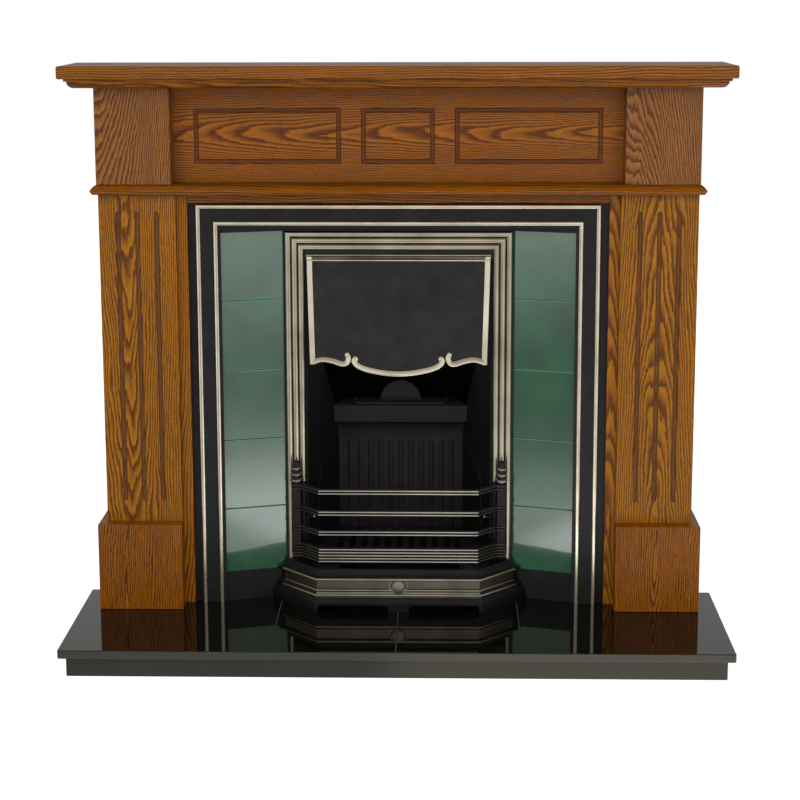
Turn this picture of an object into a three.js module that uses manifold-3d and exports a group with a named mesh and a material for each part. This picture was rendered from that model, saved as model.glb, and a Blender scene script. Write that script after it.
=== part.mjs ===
// Fireplace with an oak surround, a cast iron tiled insert and a granite hearth. Millimetres, +Z up.
//
// The wall plane is y = 0 while the pieces are laid out: the room is at -Y and the firebox reaches
// past the wall at +Y. Heights named *_Z are above the top of the hearth. The finished group is then
// moved so that its origin is on the floor, under the middle of the whole fireplace.

import * as THREE from "three";
import { mergeVertices } from "three/addons/utils/BufferGeometryUtils.js";
import Module from "manifold-3d";

const wasm = await Module();
wasm.setup();

// ---------------------------------------------------------------- driving dimensions

const GAP = 0.3; // clearance between pieces that touch

// Tiles: the insert is made to take them, so its height follows from theirs
const TILE_SIZE = 152;
const TILE_JOINT = 0.4;
const TILE_THICK = 8;
const TILE_ARRIS = 1;
const TILES_A_SIDE = 5;
const TILE_BOTTOM_Z = 54;
const TILE_SPLAY = THREE.MathUtils.degToRad(16);
const TILE_TUCK = 8.2; // how far the outer edge of the tiles lies behind the front frame
const TILE_SET_BACK = 6.4; // from the back of the front frame to that edge

// Front frame of the insert
const FRAME_HALF = 425; // outer edge of the outer polished bead
const FRAME_OVER_TILES = 57.4;
const FRAME_BEAD = 9;
const FRAME_BAND = 27;
const FRAME_LIP = 6;
const FRAME_OUTER_FACE = 88; // foot of the outer bead, in front of the wall
const FRAME_INNER_FACE = 84;
const FRAME_BACK = 79;
const BEAD_RISE = 4.5;
const GROOVE_SET_BACK = 1; // the flats beside beads and reeds lie this far behind their feet
const FLANGE_MARGIN = 38; // from the outer bead to the outer edge of the flange
const FLANGE_HEAD = 23;
const FLANGE_THICK = 8;
const HEAD_RETURN_THICK = 6;

// Sleeves that hold the tiles
const SLEEVE_PLATE = 5;
const SLEEVE_WALL = 4.5;
const SLEEVE_LIP = 3;
const SLEEVE_LIP_COVER = 11.4; // how far the skirt laps over the lowest tile
const SLEEVE_RAIL_COVER = 5;
const SLEEVE_RAIL_HEIGHT = 16;
const SLEEVE_LIP_SHORT = 13; // the lips end this far short of the inner edge of the tiles

// Reeded inner frame
const REED_COUNT = 3;
const REED_WIDTH = 11.6;
const REED_GROOVE = 2.1;
const REED_RISE = 5;
const REED_FACE = 40;
const INNER_FRAME_LAP = 9.9; // over the inner edge of the tiles
const INNER_FRAME_DROP = 59; // from the top of the front frame to the top of the reeds
const INNER_FRAME_EDGE = 4;
const INNER_FRAME_BACK = 35;
const HEAD_PLATE_HEIGHT = 24;

// Surround
const LEG_CLEARANCE = 2; // from the flange of the insert to a pilaster
const LEG_WIDTH = 162;
const PILASTER_FACE = 101; // how far a face stands in front of the wall
const PILASTER_THICK = 15;
const SIDE_BOARD_THICK = 18;
const SLIP_MARGIN = 18; // from the outer bead to the inner edge of a slip
const SLIP_WIDTH = 57;
const SLIP_THICK = 12;
const HEADER_MARGIN = 3;
const NECK_CLEARANCE = 1; // from the flange to the neck board
const NECK_THICK = 20;
const NECK_NOSE = 13;
const NECK_NOSE_Z = 8.4; // height of its point
const NECK_FOOT_REACH = 7.8;
const NECK_SHOULDER_REACH = 6.5;
const NECK_SHOULDER_Z = 16.4;
const NECK_TOP_REACH = 1;
const CAPITAL_SET_IN = 6;
const CAPITAL_PROUD = 17; // in front of the pilaster
const CAPITAL_HEIGHT = 202;
const BLOCK_ARRIS = 1; // on the capital and plinth blocks
const FRIEZE_SET_BACK = 52; // behind the capital
const FRIEZE_THICK = 18;
const CORNICE_REACH = 51;
const CORNICE_FILLET = 6;
const CORNICE_STEP = 5;
const CORNICE_OVOLO = 14;
const SHELF_PAST_CORNICE = 8; // at each end
const SHELF_FRONT_PAST_CORNICE = 31;
const SHELF_THICK = 26;
const SHELF_ARRIS = 2;
const PLINTH_LEDGE = 32; // in front of the pilaster
const PLINTH_LAP = 2; // past its inner edge
const PLINTH_PROUD = 16; // past its outer edge
const PLINTH_HEIGHT = 189;
const BACK_RAIL_HEIGHT = 60;
const FLUTE_COUNT = 3;
const FLUTE_WIDTH = 10.4;
const FLUTE_DEEP = 4;
const FLUTE_FOOT = 45; // above the plinth
const FLUTE_HEAD = 37; // below the neck board
const PANEL_FOOT = 39; // margins of the routed frames on the frieze
const PANEL_HEAD = 46;
const PANEL_SIDE = 43;
const PANEL_SPACING = 42;
const PANEL_CENTRE_HALF = 77;
const GROOVE_WIDTH = 10;
const GROOVE_DEEP = 3.5;
const GROOVE_LEAN = 2;

// Hearth
const HEARTH_PAST_PLINTH = 43;
const HEARTH_DEPTH = 381;
const SLAB_THICK = 18;
const SLAB_OVERHANG = 15;
const SLAB_ARRIS = 1.2;
const SLAB_JOINT = 1;
const SLAB_CENTRE_WIDTH = 256; // each of the two slabs in front of the fire
const SLAB_CORNER_RADIUS = 5;
const RISER_HEIGHT = 42;
const RISER_THICK = 20;

// Hood. Its lines are the middles of its border, as [share of its half width, height above its corner]
const HOOD_CLEARANCE = 7; // at each side of its top, in the inner frame
const HOOD_HEAD_CLEARANCE = 10;
const HOOD_TAPER = 6.5;
const HOOD_HEIGHT = 234; // from its lower corners
const HOOD_BORDER = 10.5;
const HOOD_THICK = 6;
const HOOD_BORDER_RISE = 2.5;
const HOOD_TOP_FACE = 36;
const HOOD_LEAN = 22;
const HOOD_BELLY = 30;
const HOOD_LAP = 12; // how far its hanging strip laps behind the inner frame
const HOOD_STRIP_THICK = 4;
const HOOD_SHOULDER = [
  [0.972, 3.2],
  [0.86, 11],
  [0.739, 9],
  [0.628, 3.5],
  [0.575, 7],
  [0.557, 16],
  [0.57, 24],
];
const HOOD_APRON = [
  [0, -21],
  [0.137, -19.5],
  [0.274, -15.5],
  [0.385, -10],
  [0.459, -3],
  [0.491, 5],
  [0.48, 12],
];

// Firebox
const CHEEK_LIP = 6; // how far a cheek shows inside the inner frame
const CHEEK_FRONT_FACE = 30;
const CHEEK_SPLAY = THREE.MathUtils.degToRad(18.4);
const CHEEK_THICK = 5;
const CHEEK_PAST_LEDGE = 2.2;
const CHEEK_BEHIND_HOOD = 123;
const CHEEK_FLANGE = 31;
const CHEEK_HOOD_LIP = 8; // how much wider the flange is behind the hood
const CHEEK_PANEL_THICK = 3;
const CHEEK_PANEL_FROM = 20; // behind the wall plane, to its front edge
const CHEEK_PANEL_SHOULDER = 32;
const CHEEK_PANEL_LOW_Z = 231;
const CHEEK_PANEL_HIGH_Z = 272;
const CHEEK_REST = 8;
const FIREBACK_FACE_Y = 136;
const FIREBACK_THICK = 12;
const FIREBACK_TOP_Z = 318;
const FIREBACK_REEDS = 11;
const FIREBACK_REED_MARGIN = 15.3;
const FIREBACK_REED_RADIUS = 6;
const FIREBACK_HEAD = 8; // plain above the reeds
const LEDGE_OVERHANG = 24; // in front of the fireback
const LEDGE_DEPTH = 88;
const LEDGE_HEIGHT = 78;
const LEDGE_FILLET = 11;
const LEDGE_FILLET_PROUD = 3;
const LEDGE_FASCIA = 27;
const LEDGE_THICK = 9;
const THROAT_WALL = 5; // rises from the back of the ledge
const THROAT_WALL_DROP = 30; // from the ledge down to its foot
const THROAT_WALL_RISE = 30; // above the middle of the hood's lower edge
const THROAT_WALL_PAST_CHEEK = 16; // at its foot

// Damper flap on the ledge
const DAMPER_MARGIN = 34.8; // from its end to the cheek
const DAMPER_SET_BACK = 6;
const DAMPER_DEPTH = 42;
const DAMPER_THICK = 5;
const DAMPER_DISC_RADIUS = 46;
const DAMPER_DISC_BACK = 25.2; // from the axis forward to the disc
const DAMPER_PIN_RADIUS = 2.5;
const DAMPER_EAR = 6;
const DAMPER_EAR_WALL = 3;

// Bottom grate
const GRATE_Z = 96;
const GRATE_THICK = 12;
const GRATE_SLOTS = 11;
const GRATE_MARGIN = 19;
const GRATE_BORDER = 14;
const GRATE_CLEARANCE = 3;
const GRATE_FRONT_CLEARANCE = 8;

// Front bars
const BARS_REACH = 53.1; // in front of the middles of their posts
const BARS_CANT = 52; // the bars turn this far short of the posts, at 45 degrees
const BAR_REED_RISE = 3;
const BAR_DEPTH = 8;
const BAR_HEIGHT = 12.6;
const BAR_HEIGHTS_Z = [165, 209, 256]; // middles of the three bars
const BAND_CLEARANCE = 10.1; // above the ashpan cover
const BAND_HEIGHT = 33.3;
const BAND_REEDS = 5;
const POST_PAST_OPENING = 19;
const POST_WIDTH = 18;
const POST_TOP_Z = 263;

// Finials: the rings are [height, share of the radius]
const FINIAL_HEIGHT = 51;
const FINIAL_RADIUS = 13.5;
const FINIAL_NECK = 8.4;
const FINIAL_CAP = 7.5;
const FINIAL_TIP = 5;
const FINIAL_RINGS = [
  [6.5, 1],
  [19.5, 0.94],
  [32.5, 0.86],
];
const FINIAL_RING_ROUND = 3;
const FINIAL_RING_HALF = 3.4;
const FINIAL_NECK_HALF = 5.5; // from a ring's middle to the neck
const FINIAL_SPIGOT = 8;
const FINIAL_SPIGOT_RADIUS = 4;

// Ashpan cover. Heights in its section are above the hearth, depths are in front of its top edge
const COVER_PROUD = 8; // in front of the bars
const COVER_TURN = 1; // its corners are this much wider than those of the bars
const COVER_TOP_Z = 88.6;
const COVER_THICK = 5;
const COVER_COVE = 11;
const COVER_UPPER_BEAD_Z = 72;
const COVER_UPPER_BEAD = 6;
const COVER_FASCIA = 8;
const COVER_FASCIA_TOP_Z = 65;
const COVER_FASCIA_LOW_Z = 47;
const COVER_LOWER_BEAD_Z = 46.5;
const COVER_LOWER_BEAD = 4;
const COVER_STEP_Z = 38;
const COVER_FOOT_BEAD_Z = 37.5;
const COVER_FOOT_BEAD = 5;
const COVER_FOOT_REACH = 23;
const COVER_FOOT_Z = 22;
const COVER_ENDS = 120; // length of its canted ends before they are fitted to the frames
const ARCH_FROM = 22;
const ARCH_PAST_TURN = 3;
const ARCH_HEIGHT = 15;
const ARCH_RADIUS = 10;
const KNOB_Z = 54;
const KNOB_RADIUS = 12.5;
const KNOB_REACH = 12;
const KNOB_DOME = 4;
const ROSETTE_RADIUS = 22;
const ROSETTE_RISE = 6;
const ROSETTE_DISH = 2.5;
const STEM_RADIUS = 4;

// Ash pan
const PAN_SIDE_CLEARANCE = 37;
const PAN_FRONT_CLEARANCE = 30;
const PAN_BACK_CLEARANCE = 14;
const PAN_HEIGHT = 54;
const PAN_SHEET = 2;
const PAN_LIP = 12;

// Cheek bolts
const BOLT_RADIUS = 4;
const BOLT_HEAD_RADIUS = 6;
const BOLT_HEAD = 4;
const BOLT_CROWN = 1.5;
const BOLT_REACH = 9;
const BOLT_ALONG = 14;
const BOLT_Z = 176;

// ---------------------------------------------------------------- derived places

const HEARTH_TOP = RISER_HEIGHT + SLAB_THICK;
const SEAT = HEARTH_TOP + GAP; // what stands on the hearth starts here

const TILE_PITCH = TILE_SIZE + TILE_JOINT;
const TILE_STACK_TOP_Z = TILE_BOTTOM_Z + TILE_PITCH * (TILES_A_SIDE - 1) + TILE_SIZE;
const FRAME_TOP_Z = TILE_STACK_TOP_Z + FRAME_OVER_TILES;
const FRAME_WIDE = 2 * FRAME_BEAD + FRAME_BAND;
const FLANGE_OUTSIDE = FRAME_HALF + FLANGE_MARGIN;
const FLANGE_TOP_Z = FRAME_TOP_Z + FLANGE_HEAD;
const TILE_EDGE_X = FRAME_HALF - FRAME_WIDE - FRAME_LIP + TILE_TUCK; // outer edge of the tile face
const TILE_EDGE_FACE = FRAME_BACK - TILE_SET_BACK;
const SLEEVE_LIP_LENGTH = TILE_SIZE - SLEEVE_LIP_SHORT;

const REED_PITCH = REED_WIDTH + REED_GROOVE;
const REEDS_WIDE = REED_COUNT * REED_PITCH - REED_GROOVE;
const REED_CREST = REED_FACE + REED_RISE;
const INNER_FRAME_OUTSIDE = TILE_EDGE_X - TILE_SIZE * Math.cos(TILE_SPLAY) + INNER_FRAME_LAP;
const INNER_FRAME_INSIDE = INNER_FRAME_OUTSIDE - REEDS_WIDE - INNER_FRAME_EDGE;
const INNER_FRAME_TOP_Z = FRAME_TOP_Z - INNER_FRAME_DROP;
const INNER_FRAME_HEAD_Z = INNER_FRAME_TOP_Z - REEDS_WIDE - INNER_FRAME_EDGE; // underside of the head

const LEG_INSIDE = FLANGE_OUTSIDE + LEG_CLEARANCE; // from the centre line to a pilaster
const LEG_OUTSIDE = LEG_INSIDE + LEG_WIDTH;
const PILASTER_BACK = PILASTER_FACE - PILASTER_THICK;
const SLIP_INSIDE = FRAME_HALF + SLIP_MARGIN;
const SLIP_OUTSIDE = SLIP_INSIDE + SLIP_WIDTH;
const SLIP_FACE = PILASTER_BACK - GAP;
const SLIP_BACK = SLIP_FACE - SLIP_THICK;
const FLANGE_FACE = SLIP_BACK - GAP;
const SIDE_BOARD_INSIDE = LEG_OUTSIDE - SIDE_BOARD_THICK;
const PLINTH_FACE = PILASTER_FACE + PLINTH_LEDGE;
const PLINTH_INSIDE = LEG_INSIDE - PLINTH_LAP;
const PLINTH_OUTSIDE = LEG_OUTSIDE + PLINTH_PROUD;
const CAPITAL_INSIDE = LEG_INSIDE + CAPITAL_SET_IN;
const CAPITAL_FACE = PILASTER_FACE + CAPITAL_PROUD;
const FRIEZE_FACE = CAPITAL_FACE - FRIEZE_SET_BACK;
const HEADER_SLIP_Z = FRAME_TOP_Z + HEADER_MARGIN;
const NECK_Z = FLANGE_TOP_Z + NECK_CLEARANCE;
const NECK_TOP_Z = NECK_Z + NECK_THICK;
const LEG_HEIGHT = NECK_Z - GAP;
const SOFFIT_Z = NECK_TOP_Z + CAPITAL_HEIGHT;
const CORNICE_THICK = CORNICE_OVOLO + CORNICE_FILLET;
const SHELF_Z = SOFFIT_Z + CORNICE_THICK + GAP;
const SHELF_HALF = LEG_OUTSIDE + CORNICE_REACH + SHELF_PAST_CORNICE;
const SHELF_DEPTH = CAPITAL_FACE + CORNICE_REACH + SHELF_FRONT_PAST_CORNICE;
const HEARTH_HALF = PLINTH_OUTSIDE + HEARTH_PAST_PLINTH;
const FLUTE_PITCH = LEG_WIDTH / (FLUTE_COUNT + 1);
const FLUTE_BOTTOM_Z = PLINTH_HEIGHT + FLUTE_FOOT;
const FLUTE_TOP_Z = NECK_Z - FLUTE_HEAD;
const PANEL_BOTTOM_Z = NECK_TOP_Z + PANEL_FOOT;
const PANEL_TOP_Z = SOFFIT_Z - PANEL_HEAD;
const PANEL_SIDE_FROM = PANEL_CENTRE_HALF + PANEL_SPACING;
const PANEL_SIDE_TO = CAPITAL_INSIDE - PANEL_SIDE;

const HOOD_TOP_HALF = INNER_FRAME_INSIDE - HOOD_CLEARANCE;
const HOOD_LOW_HALF = HOOD_TOP_HALF - HOOD_TAPER;
const HOOD_TOP_Z = INNER_FRAME_HEAD_Z - HOOD_HEAD_CLEARANCE;
const HOOD_CORNER_Z = HOOD_TOP_Z - HOOD_HEIGHT;
const HOOD_STRIP_LOW_Z = HOOD_TOP_Z - HOOD_LAP;

const LEDGE_FACE_Y = FIREBACK_FACE_Y - LEDGE_OVERHANG;
const LEDGE_BACK_Y = LEDGE_FACE_Y + LEDGE_DEPTH;
const LEDGE_TOP_Z = FIREBACK_TOP_Z + LEDGE_HEIGHT;
const CHEEK_FRONT_X = INNER_FRAME_INSIDE - CHEEK_LIP;
const CHEEK_FLANGE_OUTSIDE = CHEEK_FRONT_X + CHEEK_FLANGE;
const CHEEK_LENGTH = (LEDGE_BACK_Y + CHEEK_PAST_LEDGE + CHEEK_FRONT_FACE) / Math.cos(CHEEK_SPLAY);
const CHEEK_TOP_Z = HOOD_CORNER_Z + CHEEK_BEHIND_HOOD;
const CHEEK_BACK_Y = LEDGE_BACK_Y + CHEEK_PAST_LEDGE + CHEEK_THICK * Math.sin(CHEEK_SPLAY);
const WHOLE_MIDDLE_Y = (CHEEK_BACK_Y - HEARTH_DEPTH) / 2;

const FINIAL_FACE = REED_CREST + GAP + FINIAL_RADIUS; // the finials stand clear of the reeds
const POST_X = INNER_FRAME_INSIDE + POST_PAST_OPENING;
const BARS_HALF = POST_X - BARS_CANT; // where the bars turn towards the frame
const BARS_FACE = FINIAL_FACE + BARS_REACH;
const BAND_Z = COVER_TOP_Z + BAND_CLEARANCE;
const COVER_HALF = BARS_HALF + COVER_TURN;
const COVER_FACE = BARS_FACE + COVER_PROUD;
const ARCH_TO = COVER_HALF + ARCH_PAST_TURN;
const PAN_HALF = COVER_HALF - PAN_SIDE_CLEARANCE;
const PAN_FRONT = COVER_FACE - PAN_FRONT_CLEARANCE;
const PAN_BACK_Y = FIREBACK_FACE_Y - PAN_BACK_CLEARANCE;
const GRATE_FRONT_HALF = BARS_HALF - BAR_DEPTH;
const GRATE_PITCH = (2 * (GRATE_FRONT_HALF - GRATE_MARGIN)) / GRATE_SLOTS;
const GRATE_SLOT_WIDTH = GRATE_PITCH / 2;

// ---------------------------------------------------------------- finishes

const finish = (color, roughness, metalness) =>
  new THREE.MeshStandardMaterial({ color, roughness, metalness });
const OAK = finish(0x8f5a24, 0.42, 0);
const IRON = finish(0x232324, 0.5, 0.6);
const POLISHED_IRON = finish(0xb9ad98, 0.3, 0.95);
const GLAZED_TILE = finish(0x2f7350, 0.08, 0);
const GRANITE = finish(0x161617, 0.1, 0);
const RISER_GRANITE = finish(0x3c3c38, 0.45, 0);
const MORTAR = finish(0x7c7a75, 0.9, 0);
const SHEET_STEEL = finish(0x2b2b2d, 0.55, 0.7);

// ---------------------------------------------------------------- geometry helpers

const v2 = (x, y) => new THREE.Vector2(x, y);
const mirrored = (points) => points.map((p) => v2(-p.x, p.y)).reverse();

function solid(geometry) {
  const bare = geometry.clone();
  bare.deleteAttribute("normal");
  bare.deleteAttribute("uv");
  const merged = mergeVertices(bare, 1e-4);
  const vertProperties = Float32Array.from(merged.attributes.position.array);
  const triVerts = Uint32Array.from(merged.index.array);
  return new wasm.Manifold(new wasm.Mesh({ numProp: 3, vertProperties, triVerts }));
}

function geometryOf(body) {
  const mesh = body.getMesh();
  const geometry = new THREE.BufferGeometry();
  geometry.setAttribute("position", new THREE.BufferAttribute(mesh.vertProperties, 3));
  geometry.setIndex(new THREE.BufferAttribute(mesh.triVerts, 1));
  const faceted = geometry.toNonIndexed();
  faceted.computeVertexNormals();
  return faceted;
}

const joined = (first, ...rest) =>
  geometryOf(rest.reduce((body, next) => body.add(solid(next)), solid(first)));
const cutBy = (first, ...tools) =>
  geometryOf(tools.reduce((body, tool) => body.subtract(solid(tool)), solid(first)));
const common = (first, second) => geometryOf(solid(first).intersect(solid(second)));

function block([x0, x1], [y0, y1], [z0, z1]) {
  const geometry = new THREE.BoxGeometry(x1 - x0, y1 - y0, z1 - z0);
  return geometry.translate((x0 + x1) / 2, (y0 + y1) / 2, (z0 + z1) / 2);
}

// A closed skin over rings of points that all have the order of `section`.
function loft(rings, section, closed = false) {
  const count = section.length;
  const positions = rings.flat().flatMap((p) => [p.x, p.y, p.z]);
  const triangles = [];
  const spans = closed ? rings.length : rings.length - 1;
  for (let ring = 0; ring < spans; ring += 1) {
    const here = ring * count;
    const next = ((ring + 1) % rings.length) * count;
    for (let i = 0; i < count; i += 1) {
      const j = (i + 1) % count;
      triangles.push([here + i, here + j, next + j], [here + i, next + j, next + i]);
    }
  }
  if (!closed) {
    const last = (rings.length - 1) * count;
    const clockwise = THREE.ShapeUtils.isClockWise(section);
    for (const corners of THREE.ShapeUtils.triangulateShape(section, [])) {
      const [a, b, c] = clockwise ? [...corners].reverse() : corners;
      triangles.push([c, b, a], [last + a, last + b, last + c]);
    }
  }
  const geometry = new THREE.BufferGeometry();
  geometry.setAttribute("position", new THREE.Float32BufferAttribute(positions, 3));
  geometry.setIndex(triangles.flat());
  const flat = geometry.toNonIndexed();
  if (solid(flat).volume() < 0) {
    geometry.setIndex(new THREE.BufferAttribute(Uint32Array.from(geometry.index.array).reverse(), 1));
    return geometry.toNonIndexed();
  }
  return flat;
}

// Carries a section (x to the left of the route, y up) along a plan route with mitred corners.
function mitredRun(section, route, closed = false) {
  const leftOf = (d) => v2(-d.y, d.x);
  const rings = route.map((point, i) => {
    const next = route[i + 1] ?? (closed ? route[0] : null);
    const previous = route[i - 1] ?? (closed ? route[route.length - 1] : null);
    const leaving = next ? next.clone().sub(point).normalize() : null;
    const arriving = previous ? point.clone().sub(previous).normalize() : null;
    const mitre = leftOf(arriving ?? leaving).add(leftOf(leaving ?? arriving));
    mitre.multiplyScalar(2 / mitre.lengthSq());
    return section.map((s) => new THREE.Vector3(point.x + mitre.x * s.x, point.y + mitre.y * s.x, s.y));
  });
  return loft(rings, section, closed);
}

// Stands a plan run up against the wall: its y becomes height and its height comes out into the room.
const UPRIGHT = new THREE.Matrix4().set(1, 0, 0, 0, 0, 0, -1, 0, 0, 1, 0, 0, 0, 0, 0, 1);
const stoodUp = (geometry) => geometry.applyMatrix4(UPRIGHT);

// A board whose edge follows a profile (reach past the board, height) on its front and both ends.
function mouldedBoard(halfWidth, face, profile) {
  const corners = [v2(-1, 0), v2(-1, -1), v2(1, -1), v2(1, 0)];
  const rings = profile.map(([reach, z]) =>
    corners.map((c) => new THREE.Vector3(c.x * (halfWidth + reach), c.y * (face + reach), z)),
  );
  return loft(rings, corners);
}

const extruded = (points, height) =>
  new THREE.ExtrudeGeometry(new THREE.Shape(points), { depth: height, bevelEnabled: false });

function easedExtrusion(points, height, ease) {
  return new THREE.ExtrudeGeometry(new THREE.Shape(points), {
    depth: height - 2 * ease,
    bevelThickness: ease,
    bevelSize: ease,
    bevelOffset: -ease,
    bevelSegments: 1,
  }).translate(0, 0, ease);
}

// Points of an arc, both ends included; angles in degrees.
function arc(cx, cy, rx, ry, from, to, steps) {
  return Array.from({ length: steps + 1 }, (_, i) => {
    const angle = THREE.MathUtils.degToRad(from + ((to - from) * i) / steps);
    return v2(cx + rx * Math.cos(angle), cy + ry * Math.sin(angle));
  });
}

// Half round reeds side by side, from left to right, standing up from y = face.
function reeds(count, from, width, groove, face, rise, steps = 5) {
  return Array.from({ length: count }, (_, i) => {
    const middle = from + i * (width + groove) + width / 2;
    return arc(middle, face, width / 2, rise, 180, 0, steps);
  }).flat();
}

const fireplace = new THREE.Group();
fireplace.position.y = -WHOLE_MIDDLE_Y;

function piece(name, geometry, material, parent = fireplace) {
  const mesh = new THREE.Mesh(geometry, material);
  mesh.name = name;
  parent.add(mesh);
  return mesh;
}

const SIDES = [
  ["left", -1],
  ["right", 1],
];

// The same box on either side of the centre line, from its distances to it.
function sideBlock(side, inside, outside, yRange, zRange) {
  const xRange = [side * inside, side * outside].sort((a, b) => a - b);
  return block(xRange, yRange, zRange);
}

// ---------------------------------------------------------------- hearth

function slabOutline(x0, x1, roundLeft, roundRight) {
  const front = -HEARTH_DEPTH;
  const r = SLAB_CORNER_RADIUS;
  const left = roundLeft ? arc(x0 + r, front + r, r, r, 180, 270, 4) : [v2(x0, front)];
  const right = roundRight ? arc(x1 - r, front + r, r, r, 270, 360, 4) : [v2(x1, front)];
  return [v2(x0, 0), ...left, ...right, v2(x1, 0)];
}

function addHearth() {
  const half = HEARTH_HALF;
  const edge = SLAB_JOINT / 2;
  const slabs = [
    ["hearth_slab_left", -half, -SLAB_CENTRE_WIDTH - edge, true, false],
    ["hearth_slab_centre_left", -SLAB_CENTRE_WIDTH + edge, -edge, false, false],
    ["hearth_slab_centre_right", edge, SLAB_CENTRE_WIDTH - edge, false, false],
    ["hearth_slab_right", SLAB_CENTRE_WIDTH + edge, half, false, true],
  ];
  for (const [name, x0, x1, roundLeft, roundRight] of slabs) {
    const slab = easedExtrusion(slabOutline(x0, x1, roundLeft, roundRight), SLAB_THICK, SLAB_ARRIS);
    piece(name, slab, GRANITE).position.z = RISER_HEIGHT;
  }
  const riserHalf = half - SLAB_OVERHANG;
  const riserFront = -HEARTH_DEPTH + SLAB_OVERHANG;
  const innerHalf = riserHalf - RISER_THICK - GAP;
  const innerFront = riserFront + RISER_THICK + GAP;
  const rise = [0, RISER_HEIGHT - GAP];
  const front = block([-riserHalf, riserHalf], [riserFront, riserFront + RISER_THICK], rise);
  piece("hearth_riser_front", front, RISER_GRANITE);
  for (const [name, side] of SIDES) {
    const riser = sideBlock(side, riserHalf - RISER_THICK, riserHalf, [innerFront, 0], rise);
    piece("hearth_riser_" + name, riser, RISER_GRANITE);
  }
  piece("hearth_bed", block([-innerHalf, innerHalf], [innerFront, 0], rise), MORTAR);
}

// ---------------------------------------------------------------- surround

function flutedPilaster(side) {
  const middle = (LEG_INSIDE + LEG_OUTSIDE) / 2;
  const board = sideBlock(side, LEG_INSIDE, LEG_OUTSIDE, [-PILASTER_FACE, -PILASTER_BACK], [0, LEG_HEIGHT]);
  const radius = (FLUTE_WIDTH ** 2 / 4 + FLUTE_DEEP ** 2) / (2 * FLUTE_DEEP);
  const length = FLUTE_TOP_Z - FLUTE_BOTTOM_Z - FLUTE_WIDTH;
  const flutes = Array.from({ length: FLUTE_COUNT }, (_, i) => {
    const x = side * (middle + (i - (FLUTE_COUNT - 1) / 2) * FLUTE_PITCH);
    const flute = new THREE.CapsuleGeometry(radius, length, 4, 16).rotateX(Math.PI / 2);
    return flute.translate(x, -PILASTER_FACE - radius + FLUTE_DEEP, (FLUTE_TOP_Z + FLUTE_BOTTOM_Z) / 2);
  });
  return cutBy(board, ...flutes);
}

// A block seen in plan as an L: its face across the leg and its arm back to the wall.
function wrappedBlock(side, inside, outside, face, back, armInside, height) {
  const plan = [
    v2(inside, -back),
    v2(inside, -face),
    v2(outside, -face),
    v2(outside, 0),
    v2(armInside, 0),
    v2(armInside, -back),
  ];
  return easedExtrusion(side > 0 ? plan : mirrored(plan), height, BLOCK_ARRIS);
}

function routedFrieze() {
  const half = SIDE_BOARD_INSIDE - GAP;
  const low = NECK_TOP_Z + GAP;
  const high = SOFFIT_Z - GAP;
  const board = block([-half, half], [-FRIEZE_FACE, -FRIEZE_FACE + FRIEZE_THICK], [low, high]);
  const groove = [
    v2(0, FRIEZE_FACE + 1),
    v2(0, FRIEZE_FACE),
    v2(GROOVE_LEAN, FRIEZE_FACE - GROOVE_DEEP),
    v2(GROOVE_WIDTH - GROOVE_LEAN, FRIEZE_FACE - GROOVE_DEEP),
    v2(GROOVE_WIDTH, FRIEZE_FACE),
    v2(GROOVE_WIDTH, FRIEZE_FACE + 1),
  ];
  const panels = [
    [-PANEL_SIDE_TO, -PANEL_SIDE_FROM],
    [-PANEL_CENTRE_HALF, PANEL_CENTRE_HALF],
    [PANEL_SIDE_FROM, PANEL_SIDE_TO],
  ];
  const grooves = panels.map(([x0, x1]) => {
    const route = [v2(x0, PANEL_BOTTOM_Z), v2(x1, PANEL_BOTTOM_Z), v2(x1, PANEL_TOP_Z), v2(x0, PANEL_TOP_Z)];
    return stoodUp(mitredRun(groove, route, true));
  });
  return cutBy(board, ...grooves);
}

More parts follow.
